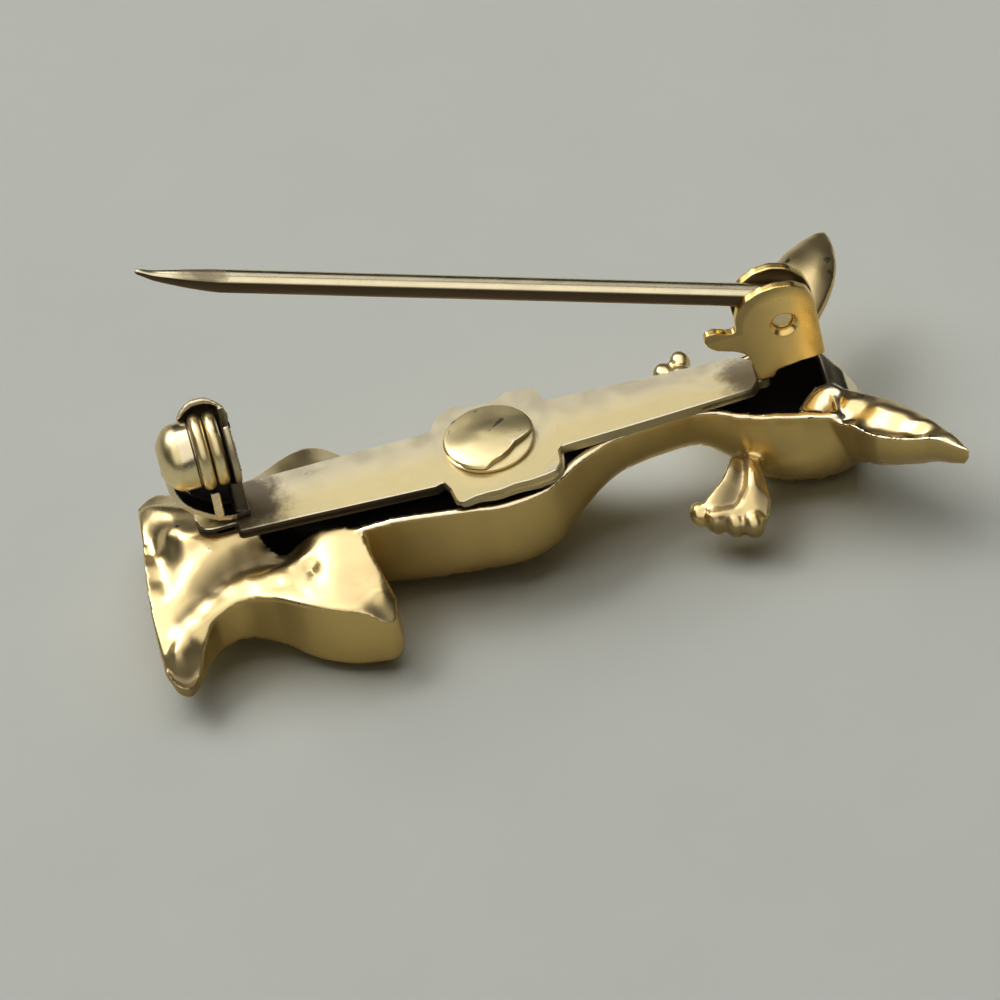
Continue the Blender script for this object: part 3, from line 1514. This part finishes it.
@dataclass
class BackBar:
    """The flat bar across the back, with the ragged double seat under the rivet.

    Attributes:
        upper: Thickness of the upper of its two layers.
        tongue_end: Where the hinge's end stops under the bracket.
        soft: Width of its softened edges.
        chamfer: Width of the chamfer along its near edge.
        drop: Height of that chamfer.
        near_edge: Corners of the near edge and their radii, from the catch to the hinge.
        far_edge: Corners of the far edge and their radii, from the hinge to the catch.
        lower_seat: Corners of the lower layer's seat under the rivet and their radii.
    """

    upper: float = 0.27
    tongue_end: float = 11.35
    soft: float = 0.03
    chamfer: float = 0.095
    drop: float = 0.1
    near_edge: tuple[Spot, ...] = (
        (-16.1, -0.95, 0.9), (-14.3, -0.95, 0.12), (-14.3, -1.55, 0.35), (-11.4, -1.69, 0.0),
        (-9.0, -1.84, 0.0), (-4.92, -2.10, 0.14), (-4.58, -1.95, 0.12), (-4.36, -2.56, 0.3),
        (-4.25, -3.42, 0.25), (-3.92, -3.62, 0.2), (-3.35, -3.46, 0.3), (-2.62, -3.42, 0.5),
        (-2.14, -3.47, 0.4), (-1.39, -3.33, 0.5), (-0.67, -3.36, 0.4), (0.21, -3.27, 0.5),
        (0.72, -3.12, 0.3), (1.0, -2.66, 0.4), (1.06, -1.87, 0.25), (1.26, -1.66, 0.2),
        (1.85, -1.62, 0.3), (5.5, -1.49, 0.0), (7.9, -1.38, 0.0), (10.5, -1.24, 0.55), (10.85, -0.75, 0.3),
    )
    far_edge: tuple[Spot, ...] = (
        (10.85, 0.6, 0.4), (10.2, 1.22, 0.7), (6.0, 1.42, 0.0), (1.3, 1.72, 0.4), (0.95, 1.85, 0.2),
        (0.9, 2.46, 0.3), (0.6, 2.86, 0.3), (-0.12, 2.92, 0.3), (-0.62, 3.0, 0.25), (-1.1, 2.66, 0.4),
        (-1.9, 2.6, 0.5), (-2.7, 2.7, 0.3), (-2.98, 3.0, 0.2), (-3.52, 2.8, 0.3), (-4.1, 2.46, 0.3),
        (-4.42, 1.75, 0.3), (-4.9, 1.63, 0.3), (-8.3, 1.66, 0.0), (-14.3, 1.66, 0.35), (-14.3, 0.95, 0.12),
        (-16.1, 0.95, 0.9),
    )
    lower_seat: tuple[Spot, ...] = (
        (-4.34, -1.98, 0.1), (-4.28, -2.6, 0.3), (-3.95, -3.5, 0.3), (-3.2, -3.38, 0.4), (-2.3, -3.56, 0.5),
        (-1.3, -3.45, 0.5), (-0.3, -3.52, 0.4), (0.4, -3.4, 0.4), (0.95, -3.0, 0.4), (1.16, -2.2, 0.3),
        (1.2, -1.6, 0.2),
    )

    def build(self, shop: Workshop) -> None:
        """Make the bar and hand it over.

        Args:
            shop: The workshop that dresses it.
        """
        low, high = node_box("back_bar")
        upper = plate("bar", rounded([*self.near_edge, *self.far_edge]), high.z - self.upper, self.upper)
        seat = [*self.near_edge[:7], *self.lower_seat, *self.near_edge[-5:]]
        lower = plate("lower", rounded([*seat, *self.far_edge]), low.z, high.z - low.z - self.upper + 0.01)
        cut(upper, lower, "UNION")
        tongue = block("tongue", (9.0, self.tongue_end), (-0.85, 0.85), (0.1, 0.3, 0.3, 0.1),
                       low.z, high.z - low.z - 0.06)
        cut(upper, tongue, "UNION")
        modify(upper, "BEVEL", width=self.soft, segments=2, limit_method="ANGLE")
        chamfer_top(upper, self.chamfer, self.drop)
        dark, rubbed = [], []
        for face in upper.data.polygons:
            near = face.center.y < 0
            dark.append(0.0 if abs(face.normal.z) > 0.5 else 0.95 if near and face.center.x < -4.4 else 0.3)
            rubbed.append(near and 0.55 < face.normal.z < 0.95)
        paint(upper, dark, domain="FACE")
        paint(upper, rubbed, "rubbed", "FACE")
        shop.hand_over(upper, "bar_plate", Body.ROOT, "bar_brass", ("back_bar",), sharp=22.0)


@dataclass
class CentreRivet:
    """The rivet in the middle of the bar: a collar and a domed head with a chipped edge.

    Attributes:
        collar: Thickness of the collar under the head.
        dome: Rise of the head's dome.
        shank: Radius of the shank.
        shift: How far it sits off the middle of its place.
        steps: Parts of the dome's profile.
        chips: Outlines of what is broken off the head's edge.
    """

    collar: float = 0.25
    dome: float = 0.25
    shank: float = 1.0
    shift: Point = (-0.1, -0.1)
    steps: int = 30
    chips: tuple[tuple[Point, ...], ...] = (
        ((-1.1, -3.5), (-0.78, -2.08), (-0.45, -2.02), (-0.1, -1.8), (0.3, -1.66), (0.72, -1.38),
         (1.08, -0.98), (1.42, -0.78), (1.82, -0.5), (2.2, -0.02), (3.2, -0.3), (3.0, -3.5)),
        ((-3.0, -0.1), (-2.3, -0.2), (-1.97, -0.62), (-1.84, -0.98), (-1.66, -1.18), (-1.52, -1.62),
         (-1.7, -2.2), (-3.0, -2.2)),
    )

    def build(self, shop: Workshop) -> None:
        """Make the rivet and hand it over.

        Args:
            shop: The workshop that dresses it.
        """
        low, high = node_box("centre_rivet")
        top = node_box("back_bar")[1].z
        middle = Vector(((low.x + high.x) / 2 + self.shift[0], self.shift[1], 0))
        radius = (high.x - low.x) / 2
        seat = top + self.collar
        wide = 0.985 * radius
        collar = turned("rivet", [(low.z, 0), (low.z, self.shank - 0.1), (low.z + 0.1, self.shank),
                                  (top + 0.01, self.shank), (top + 0.015, wide - 0.05), (top + 0.06, wide),
                                  (seat - 0.07, wide), (seat - 0.01, wide - 0.1), (seat, 0)], Axis.Z, 96)
        rim = high.z - self.dome
        profile = [(seat - 0.06, 0), (seat + 0.01, 0.8 * radius), (seat + 0.03, radius - 0.04),
                   (seat + 0.08, radius), (rim - 0.03, radius), (rim + 0.01, radius - 0.04)]
        for step in range(1, self.steps + 1):
            tilt = 0.5 * math.pi * step / self.steps
            profile.append((rim + 0.01 + (self.dome - 0.01) * math.sin(tilt),
                            (radius - 0.05) * math.cos(tilt) ** 0.9 if step < self.steps else 0))
        head = turned("head", profile, Axis.Z, 96)
        for ragged in self.chips:
            cut(head, plate("chip", ragged, seat - 1, 3.0))
        spots = places(head)
        for spot in spots:
            slope = rim + self.dome * (1 - math.hypot(spot[0], spot[1]) / radius)
            spot[2] = mix(spot[2], min(spot[2], slope), ease((spot[1] + 0.5) / 1.6))
        put(head, spots)
        modify(head, "BEVEL", width=0.025, segments=2, limit_method="ANGLE", angle_limit=math.radians(40))
        rivet = fuse([collar, head])
        rivet.data.transform(Matrix.Translation(middle))
        shop.hand_over(rivet, "rivet_head", Body.ROOT, "rivet_brass", ("centre_rivet",), sharp=40.0)


@dataclass
class HingeBracket:
    """The bracket that carries the pin, with its axle.

    Attributes:
        cheek: Thickness of a cheek.
        axle: Radius of the axle.
        bulge: How far a cheek's outer edge curves inwards.
        grain: Grain of the fused bracket.
        sunk: Depth of the sink round each end of the axle.
        short: How far the axle's ends lie inside the cheeks' outer faces.
        outline: Corners of a cheek and their radii, from its foot up to its left side.
        beak: The near cheek's further corners, round its beak.
        plain: The far cheek's further corners.
        strap: Outline of the floor between the cheeks.
    """

    cheek: float = 0.46
    axle: float = 0.45
    bulge: float = 0.3
    grain: float = 0.045
    sunk: float = 0.24
    short: float = 0.34
    outline: tuple[Spot, ...] = (
        (-1.65, -3.0, 0.12), (-0.95, -3.0, 0.15), (-0.75, -2.62, 0.3), (0.4, -2.45, 0.5), (1.62, -2.62, 0.12),
        (1.66, 0.7, 0.6), (1.45, 1.5, 0.7), (0.8, 2.15, 0.8), (0.0, 2.38, 0.8), (-0.8, 2.3, 0.8),
        (-1.5, 1.95, 0.8), (-2.0, 1.45, 0.6), (-2.18, 0.9, 0.4),
    )
    beak: tuple[Spot, ...] = (
        (-2.25, 0.16, 0.2), (-2.7, 0.22, 0.3), (-3.2, 0.46, 0.3), (-3.65, 0.44, 0.2), (-3.8, 0.1, 0.3),
        (-3.66, -0.26, 0.3), (-3.3, -0.62, 0.4), (-2.5, -0.92, 0.5), (-1.95, -1.3, 0.6), (-1.78, -2.1, 0.5),
    )
    plain: tuple[Spot, ...] = ((-2.15, 0.2, 0.6), (-1.95, -1.2, 0.8), (-1.78, -2.1, 0.5))
    strap: tuple[Point, ...] = (
        (-1.65, -3.0), (-0.95, -3.0), (-0.75, -2.6), (0.4, -2.43), (1.4, -2.55), (1.4, -2.2),
        (0.3, -2.1), (-1.0, -2.2), (-1.65, -2.5),
    )

    def cheek_plate(self, side: int, inner: float) -> bpy.types.Object:
        """One cheek.

        Args:
            side: -1 for the near one, which has the beak, and 1 for the far one.
            inner: Distance of its inner face from the middle.

        Returns:
            The closed mesh.
        """
        corners = [*self.outline, *(self.beak if side < 0 else self.plain)]
        piece = plate("cheek", rounded(corners, 5), 0, self.cheek)
        turn(piece, math.pi / 2, "X")
        middle = inner if side > 0 else -inner
        shift = middle + (self.cheek if side > 0 else 0)
        piece.data.transform(Matrix.Translation((0, shift, 0)))
        return piece

    def build(self, shop: Workshop) -> None:
        """Make the bracket and its axle and hand them over.

        Args:
            shop: The workshop that dresses them.
        """
        middle = joint_place("pin_hinge")
        outer = node_box("hinge_bracket")[1].y
        self.cheeks_piece(shop, middle, outer)
        self.axle_piece(shop, middle, outer - self.short)

    def cheeks_piece(self, shop: Workshop, middle: Vector, outer: float) -> None:
        """Make both cheeks with the floor between them and hand them over.

        Args:
            shop: The workshop that dresses them.
            middle: A point on the pin's axis.
            outer: Distance of the cheeks' outer faces from the middle.
        """
        inner = outer - self.cheek
        bracket = self.cheek_plate(-1, inner)
        floor = plate("floor", self.strap, -inner - 0.1, 2 * inner + 0.2)
        turn(floor, math.pi / 2, "X")
        for part in (self.cheek_plate(1, inner), floor):
            cut(bracket, part, "UNION")
        cut(bracket, rod("bore", self.axle + 0.03, ((0, -2, 0), (0, 2, 0)), 64))
        for side in (-1, 1):
            sink = turned("sink", [(outer - self.sunk, 0), (outer - self.sunk, self.axle + 0.02),
                                   (outer + 0.02, self.axle + 0.27), (outer + 0.02, 0)], Axis.X, 64)
            turn(sink, side * math.pi / 2, "Z")
            cut(bracket, sink)
        modify(bracket, "REMESH", mode="VOXEL", voxel_size=self.grain)
        modify(bracket, "SMOOTH", factor=0.5, iterations=3)
        spots = places(bracket)
        for spot in spots:
            away = min(max((abs(spot[0] + 0.3) - 0.2) / 1.7, 0.0), 1.0) ** 2
            share = away * (1.0 if spot[0] > 0 else 0.35)
            spot[1] -= math.copysign(self.bulge * share * ease(abs(spot[1]) / inner), spot[1])
        put(bracket, spots)
        (x, y, z), (away_x, away_y, away_z) = spots.T, normals(bracket).T
        inside = (np.abs(y) < inner + 0.04) & (z > -2.3)
        between_cheeks = inside * np.clip(1.6 - 1.5 * np.hypot(away_x, away_z), 0, 1)
        outside = (y < -inner) & (away_y < -0.7)
        crown = 0.4 * np.clip(np.hypot(x + 0.2, z) / 0.5 - 3.4, 0, 1) * (z > 0)
        shade = np.clip((0.6 - x) / 2.6, 0, 1) * 0.5 + crown
        paint(bracket, np.maximum(between_cheeks, outside * np.minimum(shade, 0.6)))
        bracket.data.transform(Matrix.Translation(middle))
        shop.hand_over(bracket, "bracket_cheeks", Body.ROOT, "bracket_gold", ("hinge_bracket",), sharp=180.0)

    def axle_piece(self, shop: Workshop, middle: Vector, half: float) -> None:
        """Make the axle, hammered out at both ends, and hand it over.

        Args:
            shop: The workshop that dresses it.
            middle: Its middle.
            half: Half its length.
        """
        end = ((0.04, 0.0), (0.0, 0.6), (0.05, 1.02), (0.12, 1.0))
        profile = [(-half + back, share * self.axle) for back, share in end]
        profile += [(half - back, share * self.axle) for back, share in reversed(end)]
        axle = turned("axle", profile, Axis.X, 48)
        turn(axle, math.pi / 2, "Z")
        axle.data.transform(Matrix.Translation(middle))
        shop.hand_over(axle, "axle_rod", Body.ROOT, "axle_metal", ("hinge_axle",), sharp=50.0)


@dataclass
class Pin:
    """The pin, drawn shut along -X from its coiled eye and then opened.

    Attributes:
        radius: Radius of the wire.
        length: Length from the axle to the tip.
        point: Length of the tapered point.
        tip: Radius of the blunt tip.
        rise: Height of the wire's middle above the axle.
        lean: How much of the taper is taken from the lower side.
        tip_rise: How much the last of the point bends up.
    """

    radius: float = 0.55
    length: float = 31.3
    point: float = 4.2
    tip: float = 0.13
    rise: float = 1.0
    lean: float = 0.75
    tip_rise: float = 0.12

    def narrowed(self, share: float) -> float:
        """How far the wire has narrowed at a share of its point."""
        return 0.35 * share + 0.65 * share ** 1.7

    def build(self, shop: Workshop) -> None:
        """Make the pin and hand it over.

        Args:
            shop: The workshop that dresses it.
        """
        middle = joint_place("pin_hinge")
        mount = frame["record"]["mounts"][0]
        opened = math.atan2(mount["axis"][2], -mount["axis"][0])
        straight = self.length - self.point
        profile = [(0.3, 0), (0.3, self.radius)]
        profile += [(-mix(0.0, straight, step / 16), self.radius) for step in range(17)]
        for step in range(1, 17):
            share = step / 16
            profile.append((-straight - share * (self.point - self.tip),
                            mix(self.radius, self.tip, self.narrowed(share))))
        profile += [(-self.length + 0.04, 0.75 * self.tip), (-self.length, 0)]
        wire = turned("wire", profile, Axis.X, 40)
        spots = places(wire)
        for spot in spots:
            share = max((-spot[0] - straight) / self.point, 0.0)
            taper = (self.radius - self.tip) * self.narrowed(share)
            spot[2] += self.rise + self.lean * taper + self.tip_rise * ease((share - 0.75) / 0.25)
        put(wire, spots)
        deselect_all()
        bpy.ops.mesh.primitive_torus_add(major_radius=self.rise, minor_radius=self.radius - 0.015,
                                         major_segments=80, minor_segments=40)
        eye = bpy.context.object
        turn(eye, math.pi / 2, "X")
        cut(eye, wire, "UNION")
        facing = normals(eye)
        paint(eye, np.clip((-facing[:, 1] - 0.5) / 0.3, 0, 1) * (facing[:, 2] < 0.5))
        turn(eye, opened, "Y")
        eye.data.transform(Matrix.Translation(middle))
        shop.hand_over(eye, "pin_wire", Body.PIN, "pin_gold", ("pin_stem",), sharp=50.0)


@dataclass
class RollerCatch:
    """The catch: its band with end plate and curled strap, and the ribbed roller in it.

    Attributes:
        outer: Outer radius of the band.
        band: Thickness of the band.
        slot: Width of the slot for the pin.
        disc: Radius of the end plate.
        turned_by: Angle in degrees that the roller is turned from open.
        disc_thick: Thickness of the end plate.
        dome: Radius of the roller's dome.
        shoulder: Where along the axis the dome's shoulder starts.
        rib: Radius over the roller's ribs.
        rib_half: Half the width of a rib.
        rib_height: Height of a rib over its groove.
        inset: How far the band and the end plate lie inside the housing's ends.
        crest: Direction in degrees in which the band's barrel is roundest.
        barrel: How far the band's sides are drawn in there.
        strap_half: Half the width of the strap.
        strap_thick: Thickness of the strap.
        strap: X and Z of the strap's middle, from the bar to its curled end.
    """

    outer: float = 2.46
    band: float = 0.27
    slot: float = 1.3
    disc: float = 1.86
    turned_by: float = 100.0
    disc_thick: float = 0.34
    dome: float = 1.62
    shoulder: float = -1.2
    rib: float = 1.84
    rib_half: float = 0.33
    rib_height: float = 0.34
    inset: float = 0.22
    crest: float = 48.0
    barrel: float = 0.62
    strap_half: float = 0.85
    strap_thick: float = 0.34
    strap: tuple[Point, ...] = ((-13.5, 5.93), (-14.3, 5.95), (-15.0, 6.16), (-15.6, 6.62), (-16.15, 7.08),
                                (-16.6, 7.68), (-16.84, 8.35), (-16.86, 9.0))

    def slot_tool(self) -> bpy.types.Object:
        """What cuts the slot above the pin's line."""
        half = self.slot / 2
        return plate("slot", [(-6, -half), (6, -half), (6, half), (-6, half)], 0, 2 * self.outer)

    def band_piece(self, left: float, right: float) -> bpy.types.Object:
        """The open band behind the roller, from the slot round the far side to below the roller.

        Args:
            left: Its end at the roller's dome.
            right: Its end at the end plate.

        Returns:
            The closed mesh.
        """
        start, end, crest = (math.radians(angle) for angle in (-82.0, 64.0, self.crest))

        def arch(along: float, around: float) -> Spot:
            """A place on the band.

            Args:
                along: Share of the way round the roller.
                around: Share of the way round the band's section: its outer side and then its inner side.

            Returns:
                The place.
            """
            angle, outside = mix(start, end, along), around < 0.5
            share = mix(-1.0, 1.0, min(2.18 * around, 1.0) if outside else max(2.18 * (1 - around), 0.0))
            round_here = max(math.cos(min(angle, crest) - crest), 0.0)
            radius = self.outer - (0 if outside else self.band) - self.barrel * round_here ** 2 * abs(share) ** 2.4
            return mix(left, right, 0.5 + 0.5 * share), radius * math.cos(angle), radius * math.sin(angle)

        return formed("band", 44, 24, arch)

    def strap_piece(self, middle: Vector) -> bpy.types.Object:
        """The strap under the roller that curls up past the dome.

        Args:
            middle: A point on the roller's axis.

        Returns:
            The closed mesh.
        """
        path = [Vector((x, z)) for x, z in self.strap]
        fine = []
        for index in range(len(path) - 1):
            fine += [path[index].lerp(path[index + 1], step / 4) for step in range(4)]
        fine.append(path[-1])
        for _ in range(3):
            fine = [fine[0], *((a + 2 * b + c) / 4 for a, b, c in zip(fine, fine[1:], fine[2:])), fine[-1]]
        sides: tuple[list[Point], list[Point]] = ([], [])
        for index, spot in enumerate(fine):
            ahead = (fine[min(index + 1, len(fine) - 1)] - fine[max(index - 1, 0)]).normalized()
            across = Vector((-ahead.y, ahead.x)) * (self.strap_thick / 2)
            sides[0].append(tuple(spot + across))
            sides[1].append(tuple(spot - across))
        piece = plate("strap", [*sides[0], *reversed(sides[1])], -self.strap_half, 2 * self.strap_half)
        turn(piece, math.pi / 2, "X")
        spots = places(piece)
        for spot in spots:
            spot[1] *= mix(1.0, 0.62, ease((spot[2] - 7.4) / 1.6)) * mix(0.85, 1.0, ease((-spot[0] - 13.6) / 1.2))
        put(piece, spots)
        piece.data.transform(Matrix.Translation(-middle))
        return piece

    def build(self, shop: Workshop) -> None:
        """Make the housing and the roller and hand them over.

        Args:
            shop: The workshop that dresses them.
        """
        middle = joint_place("roller_turn")
        self.housing_piece(shop, middle)
        self.roller_piece(shop, middle)

    def housing_piece(self, shop: Workshop, middle: Vector) -> None:
        """Make the housing and hand it over.

        Args:
            shop: The workshop that dresses it.
            middle: A point on the roller's axis.
        """
        low, high = node_box("catch_housing")
        right, left = high.x - middle.x - self.inset, low.x - middle.x
        disc_left, foot = right - self.disc_thick, low.z - middle.z
        shell = rod("shell", self.disc, ((disc_left, 0, 0), (right, 0, 0)), 96)
        modify(shell, "BEVEL", width=0.1, segments=3, limit_method="ANGLE")
        cut(shell, rod("eye", self.slot / 2, ((left, 0, 0), (right + 1, 0, 0)), 48))
        cut(shell, self.slot_tool())
        stem = plate("stem", rounded([(disc_left - 0.3, -0.6, 0.2), (right - 0.02, -0.7, 0.2),
                                      (right - 0.02, 0.7, 0.2), (disc_left - 0.3, 0.6, 0.2)]),
                     foot, -1.9 - foot)
        lug = block("lug", (-0.95, -0.5), (-1.18, -0.86), (0.12, 0.12, 0.12, 0.12), -3.3, 1.6)
        bed_end = block("bed_end", (-1.85, -1.4), (0.1, 1.3), (0.1, 0.1, 0.1, 0.3), -2.95, 1.0)
        bed = block("bed", (-1.5, 0.3), (0.1, 1.5), (0.1, 0.1, 0.3, 0.3), foot + 0.3, -1.95 - foot - 0.3)
        band = self.band_piece(left + self.inset, right - 0.06)
        shell = fuse([shell, bed, bed_end, band, stem, self.strap_piece(middle), lug])
        modify(shell, "REMESH", mode="VOXEL", voxel_size=0.05)
        modify(shell, "SMOOTH", factor=0.5, iterations=8)
        paint(shell, self.grime(shell, left, disc_left))
        shell.data.transform(Matrix.Translation(middle))
        shop.hand_over(shell, "catch_shell", Body.ROOT, "catch_band", ("catch_housing",), sharp=180.0)

    def grime(self, shell: bpy.types.Object, left: float, disc_left: float) -> np.ndarray:
        """How tarnished the housing is inside the band, on the end plate and round its foot.

        Args:
            shell: The housing, with the roller's axis through the origin.
            left: Its end at the roller's dome.
            disc_left: Place of the end plate's inner face.

        Returns:
            A value for each vertex.
        """
        (x, y, z), (away_x, away_y, away_z) = places(shell).T, normals(shell).T
        radius = np.maximum(np.hypot(y, z), 1e-6)
        inward = -(away_y * y + away_z * z) / radius
        hidden = (radius < self.outer - self.band + 0.06) & (inward > 0.35) & (x > left + 0.3)
        face = (np.abs(x - disc_left) < 0.08) & (away_x < -0.6)
        low_part = z < -1.3
        cup = low_part & (0.5 * away_x + 0.8 * away_z > 0.5) & (x < disc_left)
        bed_wall = low_part & (np.abs(y - 0.1) < 0.15) & (x > -1.8) & (x < disc_left - 0.3)
        stem_wall = low_part & (away_y < -0.5) & (x > disc_left - 0.36)
        rim = ~low_part & (x > disc_left) & (away_y < -0.3)
        depth = 1.0 - 0.38 * np.clip(z / 1.2, 0, 1)
        return np.maximum.reduce([hidden * depth, (cup | bed_wall) * 1.0, face * 0.65, stem_wall * 0.85, rim * 0.4])

    def roller_piece(self, shop: Workshop, middle: Vector) -> None:
        """Make the roller and hand it over.

        Args:
            shop: The workshop that dresses it.
            middle: A point on its axis.
        """
        low, high = node_box("catch_roller")
        right, end = high.x - middle.x, low.x - middle.x
        profile = [(right, 0), (right, self.rib - 0.5), (right - 0.05, self.rib - 0.42)]
        for centre, radius in ((-0.16, self.rib - 0.06), (-0.83, self.rib)):
            for step in range(11):
                angle = math.pi * step / 10
                profile.append((centre + self.rib_half * math.cos(angle),
                                radius - self.rib_height + self.rib_height * math.sin(angle)))
        profile += [(self.shoulder, self.dome - 0.12), (self.shoulder - 0.08, self.dome)]
        for step in range(15):
            angle = 0.5 * math.pi * step / 14
            profile.append((mix(self.shoulder - 0.62, end, math.sin(angle)),
                            self.dome * math.cos(angle) ** 0.92 if step < 14 else 0))
        roller = turned("roller", profile, Axis.X, 88)
        cut(roller, rod("bore", self.slot / 2, ((end - 1, 0, 0), (right + 1, 0, 0)), 48))
        slot = self.slot_tool()
        turn(slot, math.radians(-self.turned_by), "X")
        cut(roller, slot)
        modify(roller, "BEVEL", width=0.05, segments=3, limit_method="ANGLE", angle_limit=math.radians(40))
        roller.data.transform(Matrix.Translation(middle))
        shop.hand_over(roller, "catch_drum", Body.ROLLER, "catch_barrel", ("catch_roller",))


@dataclass(frozen=True)
class Lamp:
    """A soft area lamp.

    Attributes:
        name: Its name.
        azimuth: Direction that its light comes from, in degrees from the viewer's side.
        elevation: Its height above the horizon in degrees.
        distance: Its distance in metres.
        size: Its width and height in metres.
        power: Its power in watts.
        colour: Its colour.
        lights: Whether it lights the floor, and isn't only a card that the metal mirrors.
    """

    name: str
    azimuth: float
    elevation: float
    distance: float
    size: Point
    power: float
    colour: Spot = (1.0, 1.0, 1.0)
    lights: bool = True


@dataclass
class Studio:
    """Floor, lamps, surroundings and camera.

    Attributes:
        azimuth: Direction of the camera in degrees.
        elevation: Height of the camera above the horizon in degrees.
        roll: How far the picture is turned in degrees.
        frame_width: Width in metres that the picture takes in.
        distance: Distance of the camera in metres.
        aim: Place that the camera looks at, in millimetres.
        wall_colour: Colour of the surroundings at the sides and below.
        ceiling_colour: Colour of the surroundings above.
        lamps: The lamps and cards.
    """

    azimuth: float = -2.5
    elevation: float = 42.0
    roll: float = 13.4
    frame_width: float = 0.04651
    distance: float = 1.2
    aim: Spot = (-2.1, 0.0, 2.0)
    wall_colour: Spot = (0.02, 0.02, 0.021)
    ceiling_colour: Spot = (0.07, 0.071, 0.07)
    lamps: tuple[Lamp, ...] = (
        Lamp("top_softbox", -172.0, 71.0, 1.2, (1.8, 1.0), 6.4, (1.0, 0.985, 0.96)),
        Lamp("key_softbox", -142.0, 46.0, 1.2, (0.8, 0.7), 5.2, (1.0, 0.985, 0.95)),
        Lamp("front_card", -4.0, 54.0, 1.2, (2.4, 1.6), 9.0, (1.0, 0.97, 0.9), False),
    )

    def direction(self, azimuth: float, elevation: float) -> Vector:
        """Direction from the object towards a place given by its angles."""
        a, e = math.radians(azimuth), math.radians(elevation)
        return Vector((math.sin(a) * math.cos(e), -math.cos(a) * math.cos(e), math.sin(e)))

    def camera(self) -> None:
        """Set the camera at the photograph's angle, with its picture turned as the photograph is."""
        bpy.ops.object.camera_add()
        camera = bpy.context.object
        camera.name = "camera"
        back = self.direction(self.azimuth, self.elevation)
        a = math.radians(self.azimuth)
        right = Vector((math.cos(a), math.sin(a), 0))
        up = back.cross(right)
        roll = math.radians(self.roll)
        right, up = math.cos(roll) * right - math.sin(roll) * up, math.sin(roll) * right + math.cos(roll) * up
        place = Vector(self.aim) * MM + back * self.distance
        camera.matrix_world = Matrix((
            (right.x, up.x, back.x, place.x), (right.y, up.y, back.y, place.y),
            (right.z, up.z, back.z, place.z), (0, 0, 0, 1)))
        camera.data.lens = camera.data.sensor_width * self.distance / self.frame_width
        camera.data.clip_start, camera.data.clip_end = 0.1, 10.0
        bpy.context.scene.camera = camera

    def floor(self) -> None:
        """A plain pale floor with a faint unevenness."""
        deselect_all()
        bpy.ops.mesh.primitive_plane_add(size=1.6)
        floor = bpy.context.object
        floor.name = "floor"
        material = bpy.data.materials.new("pale_floor")
        material.use_nodes = True
        nodes = Nodes(material.node_tree)
        shader = material.node_tree.nodes["Principled BSDF"]
        shader.inputs["Roughness"].default_value = 0.9
        shader.inputs["Specular IOR Level"].default_value = 0.0
        where = nodes.add("TexCoord").outputs["Object"]
        cloud = nodes.add("TexNoise", {"Vector": where, "Scale": 120.0, "Detail": 5.0})
        colour = nodes.blend(cloud.outputs["Fac"], (0.66, 0.68, 0.64, 1.0), (0.70, 0.72, 0.68, 1.0))
        material.node_tree.links.new(colour, shader.inputs["Base Color"])
        floor.data.materials.append(material)

    def light(self) -> None:
        """Set the lamps and the dim surroundings."""
        for lamp in self.lamps:
            bpy.ops.object.light_add(type="AREA")
            light = bpy.context.object
            light.name = lamp.name
            towards = self.direction(lamp.azimuth, lamp.elevation)
            light.location = towards * lamp.distance
            light.rotation_mode = "QUATERNION"
            light.rotation_quaternion = towards.to_track_quat("Z", "Y")
            light.data.shape = "RECTANGLE"
            light.data.size, light.data.size_y = lamp.size
            light.data.energy = lamp.power
            light.data.color = lamp.colour
            light.visible_diffuse = lamp.lights
        world = bpy.data.worlds.new("studio")
        world.use_nodes = True
        nodes = Nodes(world.node_tree)
        towards = nodes.add("SeparateXYZ", {0: nodes.add("TexCoord").outputs["Generated"]})
        high = nodes.ramp(towards.outputs["Z"], 0.3, 0.72)
        colour = nodes.blend(high, (*self.wall_colour, 1.0), (*self.ceiling_colour, 1.0))
        world.node_tree.links.new(colour, world.node_tree.nodes["Background"].inputs["Color"])
        bpy.context.scene.world = world

    def build(self) -> None:
        """Set up the whole studio."""
        self.floor()
        self.light()
        self.camera()
        view = bpy.context.scene.view_settings
        view.view_transform, view.look = "Standard", "Medium High Contrast"


def main() -> None:
    """Build every piece in order."""
    logging.basicConfig(level=logging.INFO, format="%(name)s: %(message)s")
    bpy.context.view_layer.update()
    studio = Studio()
    studio.build()
    shop = Workshop()
    Figure().build(shop)
    BackBar().build(shop)
    CentreRivet().build(shop)
    HingeBracket().build(shop)
    Pin().build(shop)
    RollerCatch().build(shop)
    deselect_all()


if __name__ == "__main__":
    main()
